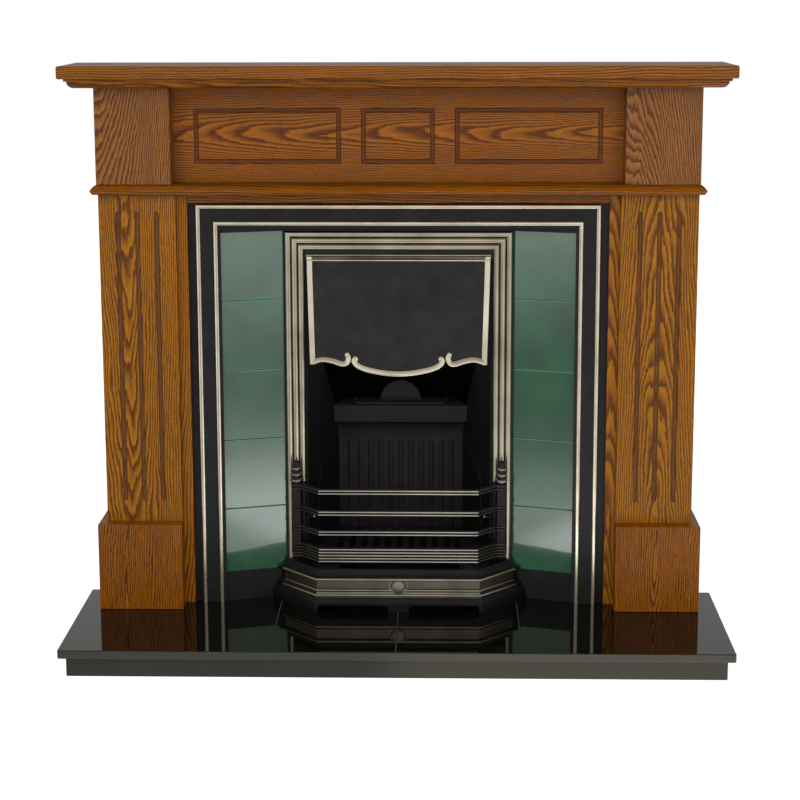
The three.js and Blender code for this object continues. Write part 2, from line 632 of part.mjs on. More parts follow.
function addSurround() {
  const surround = new THREE.Group();
  surround.position.z = SEAT;
  fireplace.add(surround);
  for (const [name, side] of SIDES) {
    piece("pilaster_" + name, flutedPilaster(side), OAK, surround);
    const outer = sideBlock(side, SIDE_BOARD_INSIDE, LEG_OUTSIDE, [-PILASTER_BACK + GAP, 0], [0, LEG_HEIGHT]);
    piece("side_board_" + name, outer, OAK, surround);
    const rebateInside = FLANGE_OUTSIDE + GAP;
    const rebateOutside = rebateInside + SIDE_BOARD_THICK;
    const rebate = sideBlock(side, rebateInside, rebateOutside, [-SLIP_BACK + GAP, 0], [0, LEG_HEIGHT]);
    piece("rebate_board_" + name, rebate, OAK, surround);
    const slip = sideBlock(side, SLIP_INSIDE, SLIP_OUTSIDE, [-SLIP_FACE, -SLIP_BACK], [0, LEG_HEIGHT]);
    piece("slip_" + name, slip, OAK, surround);
    const plinthBack = PILASTER_FACE + GAP;
    const plinth = wrappedBlock(
      side,
      PLINTH_INSIDE,
      PLINTH_OUTSIDE,
      PLINTH_FACE,
      plinthBack,
      LEG_OUTSIDE + GAP,
      PLINTH_HEIGHT,
    );
    piece("plinth_" + name, plinth, OAK, surround);
    const capital = wrappedBlock(
      side,
      CAPITAL_INSIDE,
      LEG_OUTSIDE,
      CAPITAL_FACE,
      FRIEZE_FACE + GAP,
      SIDE_BOARD_INSIDE,
      CAPITAL_HEIGHT - 2 * GAP,
    );
    piece("capital_" + name, capital, OAK, surround).position.z = NECK_TOP_Z + GAP;
  }
  const headerHalf = SLIP_INSIDE - GAP;
  const header = block([-headerHalf, headerHalf], [-SLIP_FACE, -SLIP_BACK], [HEADER_SLIP_Z, LEG_HEIGHT]);
  piece("header_slip", header, OAK, surround);
  const nose = [
    [NECK_FOOT_REACH, 0],
    [NECK_NOSE, NECK_NOSE_Z],
    [NECK_SHOULDER_REACH, NECK_SHOULDER_Z],
    [NECK_TOP_REACH, NECK_THICK],
  ];
  piece("neck_board", mouldedBoard(LEG_OUTSIDE, CAPITAL_FACE, nose), OAK, surround).position.z = NECK_Z;
  piece("frieze_board", routedFrieze(), OAK, surround);
  const ovoloReach = CORNICE_REACH - CORNICE_STEP;
  const ovolo = arc(ovoloReach - CORNICE_OVOLO, CORNICE_OVOLO, CORNICE_OVOLO, CORNICE_OVOLO, 270, 360, 5);
  const edge = [
    ...ovolo.map((p) => [p.x, p.y]),
    [CORNICE_REACH, CORNICE_OVOLO],
    [CORNICE_REACH, CORNICE_THICK],
  ];
  const cornice = mouldedBoard(LEG_OUTSIDE, CAPITAL_FACE, edge);
  piece("cornice_board", cornice, OAK, surround).position.z = SOFFIT_Z;
  const shelfEdge = [
    [-SHELF_ARRIS, 0],
    [0, SHELF_ARRIS],
    [0, SHELF_THICK - SHELF_ARRIS],
    [-SHELF_ARRIS, SHELF_THICK],
  ];
  const shelf = mouldedBoard(SHELF_HALF, SHELF_DEPTH, shelfEdge);
  piece("mantel_shelf", shelf, OAK, surround).position.z = SHELF_Z;
  const railHalf = SIDE_BOARD_INSIDE - GAP;
  const railZ = [SOFFIT_Z - BACK_RAIL_HEIGHT, SOFFIT_Z - GAP];
  const rail = block([-railHalf, railHalf], [-SIDE_BOARD_THICK, 0], railZ);
  piece("back_rail", rail, OAK, surround);
}

// ---------------------------------------------------------------- insert: front frame

// The route of a frame: up the right side, across and down the left one.
const portal = (half, topZ) => [v2(half, 0), v2(half, topZ), v2(-half, topZ), v2(-half, 0)];

function frontFrame() {
  const inside = FRAME_WIDE;
  const innerFlat = FRAME_INNER_FACE - GROOVE_SET_BACK;
  const moulding = [
    v2(0, FLANGE_FACE - FLANGE_THICK / 2),
    ...reeds(1, 0, FRAME_BEAD, 0, FRAME_OUTER_FACE, BEAD_RISE, 6),
    v2(FRAME_BEAD + GROOVE_SET_BACK, FRAME_OUTER_FACE - GROOVE_SET_BACK),
    v2(inside - FRAME_BEAD, innerFlat),
    ...reeds(1, inside - FRAME_BEAD, FRAME_BEAD, 0, FRAME_INNER_FACE, BEAD_RISE, 6),
    v2(inside, innerFlat),
    v2(inside + FRAME_LIP, innerFlat),
    v2(inside + FRAME_LIP, FRAME_BACK),
    v2(FRAME_BEAD, FRAME_BACK),
    v2(FRAME_BEAD, FLANGE_FACE - FLANGE_THICK / 2),
  ];
  const route = portal(FRAME_HALF, FRAME_TOP_Z);
  const run = stoodUp(mitredRun(moulding, route));
  const innerHalf = FRAME_HALF - FRAME_BEAD;
  const flange = extruded(
    [
      v2(-FLANGE_OUTSIDE, 0),
      v2(-FLANGE_OUTSIDE, FLANGE_TOP_Z),
      v2(FLANGE_OUTSIDE, FLANGE_TOP_Z),
      v2(FLANGE_OUTSIDE, 0),
      v2(innerHalf, 0),
      v2(innerHalf, FRAME_TOP_Z - FRAME_BEAD),
      v2(-innerHalf, FRAME_TOP_Z - FRAME_BEAD),
      v2(-innerHalf, 0),
    ],
    FLANGE_THICK,
  ).translate(0, 0, FLANGE_FACE - FLANGE_THICK);
  // The head turns back over the tiles as far as the inner frame.
  const returnHalf = FRAME_HALF - inside - FRAME_LIP;
  const returnZ = INNER_FRAME_TOP_Z + HEAD_PLATE_HEIGHT + GAP;
  const returnY = [-FRAME_BACK - 1, -INNER_FRAME_BACK];
  const headReturn = block([-returnHalf, returnHalf], returnY, [returnZ, returnZ + HEAD_RETURN_THICK]);
  return joined(run, stoodUp(flange), headReturn);
}

// ---------------------------------------------------------------- insert: tiles and sleeves

// Each sleeve is laid out flat: x = 0 is the outer edge of the tiles, y = 0 is the tile face.
function tileSleeve(side) {
  const sine = Math.sin(TILE_SPLAY);
  const cosine = Math.cos(TILE_SPLAY);
  const back = TILE_THICK + GAP;
  const plateBack = back + SLEEVE_PLATE;
  const outerFrom = TILE_JOINT;
  const outerTo = outerFrom + SLEEVE_WALL;
  const innerFrom = TILE_SIZE + TILE_JOINT;
  const innerTo = innerFrom + SLEEVE_WALL;
  const reachOut = (TILE_EDGE_FACE + outerTo * sine - (FRAME_BACK - GAP)) / cosine;
  const reachIn = (TILE_EDGE_FACE - innerFrom * sine - (INNER_FRAME_BACK - GAP)) / cosine;
  const topZ = TILE_STACK_TOP_Z + SLEEVE_RAIL_HEIGHT;
  const skirtTop = TILE_BOTTOM_Z - TILE_JOINT;
  const railFrom = TILE_STACK_TOP_Z + TILE_JOINT;
  const along = (from, to) => [side * from, side * to].sort((a, b) => a - b);
  const lipY = [-SLEEVE_LIP, -GAP];
  const lipX = along(-SLEEVE_LIP_LENGTH, outerFrom + 1);
  const solidY = [0, plateBack - 1];
  return joined(
    block(along(-innerTo, outerTo), [back, plateBack], [0, topZ]),
    block(along(outerFrom, outerTo), [reachOut, back + 1], [0, topZ]),
    block(along(-innerTo, -innerFrom), [reachIn, back + 1], [0, topZ]),
    block(along(-innerFrom - 1, outerFrom + 1), solidY, [0, skirtTop]),
    block(along(-innerFrom - 1, outerFrom + 1), solidY, [railFrom, topZ]),
    block(lipX, [-SLEEVE_LIP, 1], [0, skirtTop]),
    block(lipX, [-SLEEVE_LIP, 1], [railFrom, topZ]),
    block(lipX, lipY, [0, TILE_BOTTOM_Z + SLEEVE_LIP_COVER]),
    block(lipX, lipY, [TILE_STACK_TOP_Z - SLEEVE_RAIL_COVER, topZ]),
  );
}

function addTilePanels(insert) {
  for (const [name, side] of SIDES) {
    const panel = new THREE.Group();
    panel.position.set(side * TILE_EDGE_X, -TILE_EDGE_FACE, 0);
    panel.rotation.z = -side * TILE_SPLAY;
    insert.add(panel);
    piece("tile_sleeve_" + name, tileSleeve(side), IRON, panel);
    for (let i = 0; i < TILES_A_SIDE; i += 1) {
      const square = [v2(0, 0), v2(TILE_SIZE, 0), v2(TILE_SIZE, TILE_SIZE), v2(0, TILE_SIZE)];
      const tile = easedExtrusion(square, TILE_THICK, TILE_ARRIS);
      const mesh = piece("tile_" + name + "_" + (i + 1), tile, GLAZED_TILE, panel);
      mesh.rotation.x = Math.PI / 2;
      mesh.position.set(side > 0 ? -TILE_SIZE : 0, TILE_THICK, TILE_BOTTOM_Z + i * TILE_PITCH);
    }
  }
}

// ---------------------------------------------------------------- insert: reeded inner frame

function innerFrame() {
  const section = [
    v2(0, INNER_FRAME_BACK),
    v2(0, REED_FACE - GROOVE_SET_BACK),
    v2(INNER_FRAME_EDGE, REED_FACE - GROOVE_SET_BACK),
    ...reeds(REED_COUNT, INNER_FRAME_EDGE, REED_WIDTH, REED_GROOVE, REED_FACE, REED_RISE),
    v2(INNER_FRAME_EDGE + REEDS_WIDE, INNER_FRAME_BACK),
  ];
  const half = INNER_FRAME_OUTSIDE;
  const route = portal(half, INNER_FRAME_TOP_Z);
  const plateY = [-REED_FACE + GROOVE_SET_BACK, -INNER_FRAME_BACK];
  const plateTop = INNER_FRAME_TOP_Z + HEAD_PLATE_HEIGHT;
  const headPlate = block([-half, half], plateY, [INNER_FRAME_TOP_Z - 2, plateTop]);
  return joined(stoodUp(mitredRun(section, route)), headPlate);
}

// ---------------------------------------------------------------- insert: hood

// How far the back of the hood stands out at a point: it leans out and bellies forward.
function hoodStand(x, z) {
  const down = (HOOD_TOP_Z - z) / (HOOD_TOP_Z - HOOD_CORNER_Z);
  const across = x / HOOD_TOP_HALF;
  const bow = Math.sin(Math.min(Math.max(down, 0), 1) * Math.PI * 0.5);
  return HOOD_TOP_FACE + HOOD_LEAN * down + HOOD_BELLY * bow * (1 - across * across);
}

// A slab between two offsets of the hood's surface, wider than the hood on every side.
function hoodSlab(from, to) {
  const columns = 16;
  const rows = 10;
  const halfWide = HOOD_TOP_HALF + 6;
  const low = HOOD_CORNER_Z - 60;
  const high = HOOD_TOP_Z + 8;
  const rings = Array.from({ length: columns + 1 }, (_, i) => {
    const x = -halfWide + (2 * halfWide * i) / columns;
    const level = (j) => low + ((high - low) * j) / rows;
    const backEdge = Array.from({ length: rows + 1 }, (_, j) => level(j));
    const frontEdge = [...backEdge].reverse();
    return [
      ...backEdge.map((z) => new THREE.Vector3(x, -hoodStand(x, z) - from, z)),
      ...frontEdge.map((z) => new THREE.Vector3(x, -hoodStand(x, z) - to, z)),
    ];
  });
  const section = rings[0].map((p) => v2(p.y, p.z));
  return loft(rings, section);
}

// A band of even width along a curve, round at its far end.
function ribbon(curve, width, steps) {
  const half = width / 2;
  const points = curve.getSpacedPoints(steps);
  const normals = points.map((p, i) => {
    const before = points[Math.max(i - 1, 0)];
    const after = points[Math.min(i + 1, steps)];
    const tangent = after.clone().sub(before).normalize();
    return v2(-tangent.y, tangent.x);
  });
  const upper = points.map((p, i) => p.clone().addScaledVector(normals[i], half));
  const lower = points.map((p, i) => p.clone().addScaledVector(normals[i], -half)).reverse();
  const end = points[steps];
  const angle = THREE.MathUtils.radToDeg(Math.atan2(normals[steps].y, normals[steps].x));
  const cap = arc(end.x, end.y, half, half, angle, angle - 180, 6).slice(1, -1);
  return [...upper, ...cap, ...lower];
}

function hood() {
  const inset = HOOD_BORDER / 2;
  const topLine = HOOD_TOP_Z - inset;
  const lineThrough = (points) =>
    new THREE.SplineCurve(points.map(([share, rise]) => v2(share * HOOD_LOW_HALF, HOOD_CORNER_Z + rise)));
  const shoulder = lineThrough(HOOD_SHOULDER);
  const apron = lineThrough(HOOD_APRON);
  const edges = [ribbon(shoulder, HOOD_BORDER, 22), ribbon(apron, HOOD_BORDER, 22)];
  const sidePost = [
    v2(HOOD_TOP_HALF, HOOD_TOP_Z),
    v2(HOOD_TOP_HALF - HOOD_BORDER, HOOD_TOP_Z),
    v2(HOOD_LOW_HALF - HOOD_BORDER, HOOD_CORNER_Z + HOOD_BORDER * 0.6),
    v2(HOOD_LOW_HALF, HOOD_CORNER_Z),
  ];
  const topBar = [
    v2(-HOOD_TOP_HALF, HOOD_TOP_Z),
    v2(-HOOD_TOP_HALF + 1, HOOD_TOP_Z - HOOD_BORDER),
    v2(HOOD_TOP_HALF - 1, HOOD_TOP_Z - HOOD_BORDER),
    v2(HOOD_TOP_HALF, HOOD_TOP_Z),
  ];
  const halfBorder = [sidePost, ...edges];
  const border = [topBar, ...halfBorder, ...halfBorder.map(mirrored)];
  const shoulderLine = shoulder.getSpacedPoints(16).slice(0, 12);
  const apronLine = apron.getSpacedPoints(16).slice(0, 14).reverse();
  const halfPanel = [v2(HOOD_TOP_HALF - inset, topLine), ...shoulderLine, ...apronLine];
  const panel = [...halfPanel, ...mirrored(halfPanel.slice(0, -1))];
  const tall = 2 * (HOOD_TOP_FACE + HOOD_LEAN + HOOD_BELLY);
  const throughAll = (points) => stoodUp(extruded(points, tall));
  const skin = common(hoodSlab(0, HOOD_THICK), throughAll(panel));
  const rim = common(hoodSlab(0, HOOD_THICK + HOOD_BORDER_RISE), joined(...border.map(throughAll)));
  // The hood hangs on a strip that reaches up and out behind the inner frame.
  const stripFace = INNER_FRAME_BACK - GAP;
  const stripHalf = INNER_FRAME_INSIDE + HOOD_LAP;
  const stripBack = -stripFace + HOOD_STRIP_THICK;
  const stripZ = [HOOD_STRIP_LOW_Z, INNER_FRAME_HEAD_Z + HOOD_LAP];
  const strip = block([-stripHalf, stripHalf], [-stripFace, stripBack], stripZ);
  const bridgeHalf = HOOD_TOP_HALF - HOOD_BORDER;
  const bridgeY = [-HOOD_TOP_FACE - HOOD_THICK / 2, -stripFace + 1];
  const bridgeZ = [HOOD_STRIP_LOW_Z, HOOD_TOP_Z - HOOD_LAP / 2];
  const bridge = block([-bridgeHalf, bridgeHalf], bridgeY, bridgeZ);
  return joined(skin, rim, strip, bridge);
}

// ---------------------------------------------------------------- insert: firebox

const cheekHalfAt = (y) => CHEEK_FRONT_X - (y + CHEEK_FRONT_FACE) * Math.tan(CHEEK_SPLAY);

// Cheek outlines are drawn along the cheek (x) and up (y); the cheek is then stood and turned.
function cheek(side) {
  const alongTo = (y) => (y + CHEEK_FRONT_FACE) / Math.cos(CHEEK_SPLAY);
  const plate = extruded(
    [
      v2(0, 0),
      v2(CHEEK_LENGTH, 0),
      v2(CHEEK_LENGTH, FIREBACK_TOP_Z + 12),
      v2(alongTo(LEDGE_FACE_Y + 8), LEDGE_TOP_Z + 2),
      v2(0, CHEEK_TOP_Z),
    ],
    CHEEK_THICK,
  );
  const panelBack = alongTo(FIREBACK_FACE_Y) - 3;
  const panel = extruded(
    [
      v2(alongTo(CHEEK_PANEL_FROM), GRATE_Z - GAP),
      v2(panelBack, GRATE_Z - GAP),
      v2(panelBack, FIREBACK_TOP_Z - 2),
      v2(alongTo(CHEEK_PANEL_SHOULDER), CHEEK_PANEL_HIGH_Z),
      v2(alongTo(CHEEK_PANEL_FROM), CHEEK_PANEL_LOW_Z),
    ],
    CHEEK_PANEL_THICK + 1,
  ).translate(0, 0, -CHEEK_PANEL_THICK);
  const restZ = [GRATE_Z - GAP - CHEEK_REST, GRATE_Z - GAP];
  const rest = block([alongTo(0), panelBack], restZ, [-CHEEK_PANEL_THICK - CHEEK_REST, 1]);
  const flat = joined(plate, panel, rest);
  // Drawn x runs back along the cheek, drawn y is up, drawn z is outwards.
  const s = Math.sin(CHEEK_SPLAY);
  const c = Math.cos(CHEEK_SPLAY);
  const stand = new THREE.Matrix4().set(-s, 0, c, 0, c, 0, s, 0, 0, 1, 0, 0, 0, 0, 0, 1);
  const turned = flat.applyMatrix4(stand).translate(CHEEK_FRONT_X, -CHEEK_FRONT_FACE, 0);
  const flangeY = [-INNER_FRAME_BACK + GAP, -CHEEK_FRONT_FACE + CHEEK_THICK / 2];
  const flange = block([CHEEK_FRONT_X, CHEEK_FLANGE_OUTSIDE], flangeY, [0, CHEEK_TOP_Z - 1]);
  // Behind the hood the flange is wider, and it ends just under the strip that the hood hangs on.
  const lipZ = [HOOD_CORNER_Z + HOOD_BORDER, HOOD_STRIP_LOW_Z - GAP];
  const lip = block([CHEEK_FRONT_X - CHEEK_HOOD_LIP, CHEEK_FLANGE_OUTSIDE], flangeY, lipZ);
  const right = joined(turned, flange, lip);
  if (side > 0) {
    return right;
  }
  const positions = right.attributes.position.array;
  for (let i = 0; i < positions.length; i += 9) {
    for (let corner = 0; corner < 9; corner += 3) {
      positions[i + corner] *= -1;
    }
    for (let axis = 0; axis < 3; axis += 1) {
      [positions[i + 3 + axis], positions[i + 6 + axis]] = [positions[i + 6 + axis], positions[i + 3 + axis]];
    }
  }
  right.computeVertexNormals();
  return right;
}

// A plan trapezoid that fits between the cheeks.
function betweenCheeks(fromY, toY, clearance, height) {
  const near = cheekHalfAt(fromY) - clearance;
  const far = cheekHalfAt(toY) - clearance;
  return extruded([v2(-near, fromY), v2(near, fromY), v2(far, toY), v2(-far, toY)], height);
}

function fireback() {
  const plate = betweenCheeks(FIREBACK_FACE_Y, FIREBACK_FACE_Y + FIREBACK_THICK, 2 * GAP, FIREBACK_TOP_Z);
  const reedLow = GRATE_Z;
  const reedTall = FIREBACK_TOP_Z - FIREBACK_HEAD - reedLow;
  const reedPitch = (2 * (cheekHalfAt(FIREBACK_FACE_Y) - FIREBACK_REED_MARGIN)) / FIREBACK_REEDS;
  const rods = Array.from({ length: FIREBACK_REEDS }, (_, i) => {
    const x = (i - (FIREBACK_REEDS - 1) / 2) * reedPitch;
    const rod = new THREE.CylinderGeometry(FIREBACK_REED_RADIUS, FIREBACK_REED_RADIUS, reedTall, 12);
    rod.rotateX(Math.PI / 2);
    return rod.translate(x, FIREBACK_FACE_Y + FIREBACK_REED_RADIUS / 2, reedLow + reedTall / 2);
  });
  return joined(plate, ...rods);
}

const DAMPER_AXIS_Y = LEDGE_FACE_Y + DAMPER_SET_BACK + DAMPER_DEPTH;
const DAMPER_AXIS_Z = LEDGE_TOP_Z + 2 * GAP + DAMPER_THICK / 2;
const DAMPER_HALF = cheekHalfAt(DAMPER_AXIS_Y) - DAMPER_MARGIN;

// Drawn in side view (x is depth, y is height) and carried across the firebox.
function fireLedge() {
  const low = FIREBACK_TOP_Z + GAP;
  const fasciaTop = LEDGE_TOP_Z - LEDGE_FILLET;
  const fasciaLow = fasciaTop - LEDGE_FASCIA;
  const footY = FIREBACK_FACE_Y;
  const cove = arc(LEDGE_FACE_Y, low, footY - LEDGE_FACE_Y, fasciaLow - low, 0, 90, 6);
  const section = [
    ...cove,
    v2(LEDGE_FACE_Y, fasciaTop),
    v2(LEDGE_FACE_Y - LEDGE_FILLET_PROUD, fasciaTop),
    v2(LEDGE_FACE_Y - LEDGE_FILLET_PROUD, LEDGE_TOP_Z),
    v2(LEDGE_BACK_Y, LEDGE_TOP_Z),
    v2(LEDGE_BACK_Y, LEDGE_TOP_Z - LEDGE_THICK),
    v2(LEDGE_FACE_Y + LEDGE_THICK, LEDGE_TOP_Z - LEDGE_THICK),
    v2(LEDGE_FACE_Y + LEDGE_THICK, fasciaLow + LEDGE_THICK),
    v2(footY + LEDGE_THICK, low + 2 * LEDGE_THICK),
    v2(footY + LEDGE_THICK, low),
  ];
  const wide = 2 * CHEEK_FRONT_X;
  // Side view x becomes depth and side view y becomes height, with the length along X.
  const turn = new THREE.Matrix4().set(0, 0, 1, -wide / 2, 1, 0, 0, 0, 0, 1, 0, 0, 0, 0, 0, 1);
  const run = extruded(section, wide).applyMatrix4(turn);
  const trim = betweenCheeks(LEDGE_FACE_Y - 10, LEDGE_BACK_Y + 10, 2 * GAP, LEDGE_TOP_Z + 20);
  const shelf = common(run, trim);
  const ears = SIDES.map(([, side]) => {
    const inside = DAMPER_HALF + GAP;
    const earHalf = DAMPER_PIN_RADIUS + DAMPER_EAR_WALL;
    const earY = [DAMPER_AXIS_Y - earHalf, DAMPER_AXIS_Y + earHalf];
    const earZ = [LEDGE_TOP_Z - 1, DAMPER_AXIS_Z + earHalf];
    return sideBlock(side, inside, inside + DAMPER_EAR, earY, earZ);
  });
  const boreRadius = DAMPER_PIN_RADIUS + GAP;
  const bores = SIDES.map(([, side]) => {
    const bore = new THREE.CylinderGeometry(boreRadius, boreRadius, DAMPER_EAR + 2, 16).rotateZ(Math.PI / 2);
    return bore.translate(side * (DAMPER_HALF + GAP + DAMPER_EAR / 2), DAMPER_AXIS_Y, DAMPER_AXIS_Z);
  });
  // The wall of the throat passes behind the cheeks, which are lower there.
  const lowHalf = cheekHalfAt(LEDGE_FACE_Y) + THROAT_WALL_PAST_CHEEK;
  const highHalf = CHEEK_FRONT_X + CHEEK_HOOD_LIP;
  const wallLow = LEDGE_TOP_Z - THROAT_WALL_DROP;
  const wallHigh = HOOD_CORNER_Z + HOOD_APRON[0][1] + THROAT_WALL_RISE;
  const outline = [v2(-lowHalf, wallLow), v2(lowHalf, wallLow), v2(highHalf, wallHigh), v2(-highHalf, wallHigh)];
  const wall = stoodUp(extruded(outline, THROAT_WALL)).translate(0, CHEEK_BACK_Y, 0);
  return cutBy(joined(shelf, wall, ...ears), ...bores);
}

function damperFlap() {
  const bladeZ = [DAMPER_AXIS_Z - DAMPER_THICK / 2, DAMPER_AXIS_Z + DAMPER_THICK / 2];
  const blade = block([-DAMPER_HALF, DAMPER_HALF], [DAMPER_AXIS_Y - DAMPER_DEPTH, DAMPER_AXIS_Y], bladeZ);
  const disc = [v2(DAMPER_DISC_RADIUS, -1), ...arc(0, 0, DAMPER_DISC_RADIUS, DAMPER_DISC_RADIUS, 0, 180, 16)];
  const tongue = stoodUp(extruded([...disc, v2(-DAMPER_DISC_RADIUS, -1)], DAMPER_THICK));
  tongue.translate(0, DAMPER_AXIS_Y - DAMPER_DEPTH + DAMPER_DISC_BACK, bladeZ[1]);
  const pinLength = 2 * (DAMPER_HALF + GAP + DAMPER_EAR);
  const pin = new THREE.CylinderGeometry(DAMPER_PIN_RADIUS, DAMPER_PIN_RADIUS, pinLength, 16);
  return joined(blade, tongue, pin.rotateZ(Math.PI / 2).translate(0, DAMPER_AXIS_Y, DAMPER_AXIS_Z));
}

function cheekBolt(side) {
  const underHead = BOLT_REACH - BOLT_HEAD;
  const profile = [
    v2(0, 0),
    v2(BOLT_RADIUS, 0),
    v2(BOLT_RADIUS, underHead),
    v2(BOLT_HEAD_RADIUS, underHead),
    v2(BOLT_HEAD_RADIUS, BOLT_REACH - BOLT_CROWN),
    v2(BOLT_HEAD_RADIUS - BOLT_CROWN, BOLT_REACH),
    v2(0, BOLT_REACH),
  ];
  const turned = new THREE.LatheGeometry(profile, 12).translate(0, GAP, 0);
  turned.rotateZ(side * (Math.PI / 2 + CHEEK_SPLAY));
  const x = CHEEK_FRONT_X - BOLT_ALONG * Math.sin(CHEEK_SPLAY);
  const y = -CHEEK_FRONT_FACE + BOLT_ALONG * Math.cos(CHEEK_SPLAY);
  return turned.translate(side * x, y, BOLT_Z);
}

function bottomGrate() {
  const clearance = CHEEK_PANEL_THICK + GRATE_CLEARANCE;
  const backY = FIREBACK_FACE_Y - FIREBACK_REED_RADIUS / 2 - GRATE_CLEARANCE;
  const frontY = -BARS_FACE + BAR_DEPTH + GRATE_FRONT_CLEARANCE;
  const turnX = cheekHalfAt(0) - clearance;
  const backX = cheekHalfAt(backY) - clearance;
  const right = [v2(GRATE_FRONT_HALF, frontY), v2(turnX, -CHEEK_FRONT_FACE), v2(turnX, 0), v2(backX, backY)];
  const outline = [...right, ...mirrored(right)];
  const slotLow = frontY + GRATE_BORDER;
  const slotHigh = backY - GRATE_BORDER;
  const half = GRATE_SLOT_WIDTH / 2;
  const slots = Array.from({ length: GRATE_SLOTS }, (_, i) => {
    const x = (i - (GRATE_SLOTS - 1) / 2) * GRATE_PITCH;
    const room = cheekHalfAt(0) - clearance - GRATE_BORDER - half - Math.abs(x);
    const reach = Math.min(slotHigh, room / Math.tan(CHEEK_SPLAY));
    return block([x - half, x + half], [slotLow, reach], [GRATE_Z - 1, GRATE_Z + GRATE_THICK + 1]);
  });
  return cutBy(extruded(outline, GRATE_THICK).translate(0, 0, GRATE_Z), ...slots);
}

// ---------------------------------------------------------------- insert: front bars

// The bars' route in plan: across the front, then at 45 degrees back to each post.
function cantedRoute(half, face, endX) {
  const run = endX - half;
  return [v2(endX, -face + run), v2(half, -face), v2(-half, -face), v2(-endX, -face + run)];
}

// A bar's section: flat back, reeded front; x is how far out and y is the height.
function reededBar(height, count, depth) {
  const width = height / count;
  const front = reeds(count, 0, width, 0, 0, BAR_REED_RISE, 5).map((p) => v2(p.y, p.x));
  return [v2(-depth, 0), ...front, v2(-depth, height)];
}

function frontBars() {
  const route = cantedRoute(BARS_HALF, BARS_FACE - BAR_REED_RISE, POST_X);
  const lowBand = mitredRun(reededBar(BAND_HEIGHT, BAND_REEDS, BAR_DEPTH), route).translate(0, 0, BAND_Z);
  const bars = BAR_HEIGHTS_Z.map((z) => {
    const bar = mitredRun(reededBar(BAR_HEIGHT, 2, BAR_DEPTH - BAR_REED_RISE), route);
    return bar.translate(0, 0, z - BAR_HEIGHT / 2);
  });
  const half = POST_WIDTH / 2;
  const postY = [-FINIAL_FACE - half, -REED_CREST - GAP];
  const postZ = [BAND_Z, POST_TOP_Z];
  const posts = SIDES.map(([, side]) => sideBlock(side, POST_X - half, POST_X + half, postY, postZ));
  const frame = joined(lowBand, ...bars, ...posts);
  // The canted ends stop inside the posts, and each post has a hole for its finial's spigot.
  const reach = POST_X + POST_WIDTH;
  const behind = block([-reach, reach], [-REED_CREST - GAP, 0], [0, POST_TOP_Z + POST_WIDTH]);
  const holes = SIDES.map(([, side]) => {
    const radius = FINIAL_SPIGOT_RADIUS + GAP;
    const hole = new THREE.CylinderGeometry(radius, radius, 2 * (FINIAL_SPIGOT + GAP), 12);
    return hole.rotateX(Math.PI / 2).translate(side * POST_X, -FINIAL_FACE, POST_TOP_Z);
  });
  return cutBy(frame, behind, ...holes);
}

function finial() {
  const rings = FINIAL_RINGS.flatMap(([z, share]) => [
    v2(FINIAL_NECK, z - FINIAL_NECK_HALF),
    ...arc(FINIAL_RADIUS * share - FINIAL_RING_ROUND, z, FINIAL_RING_ROUND, FINIAL_RING_HALF, -90, 90, 4),
    v2(FINIAL_NECK, z + FINIAL_NECK_HALF),
  ]);
  const profile = [
    v2(0, -FINIAL_SPIGOT),
    v2(FINIAL_SPIGOT_RADIUS, -FINIAL_SPIGOT),
    v2(FINIAL_SPIGOT_RADIUS, GAP),
    v2(FINIAL_NECK, GAP),
    ...rings,
    v2(FINIAL_CAP, FINIAL_HEIGHT - FINIAL_TIP / 2),
    v2(FINIAL_TIP, FINIAL_HEIGHT),
    v2(0, FINIAL_HEIGHT),
  ];
  return new THREE.LatheGeometry(profile, 16).rotateX(Math.PI / 2);
}

// ---------------------------------------------------------------- insert: ashpan cover and pan

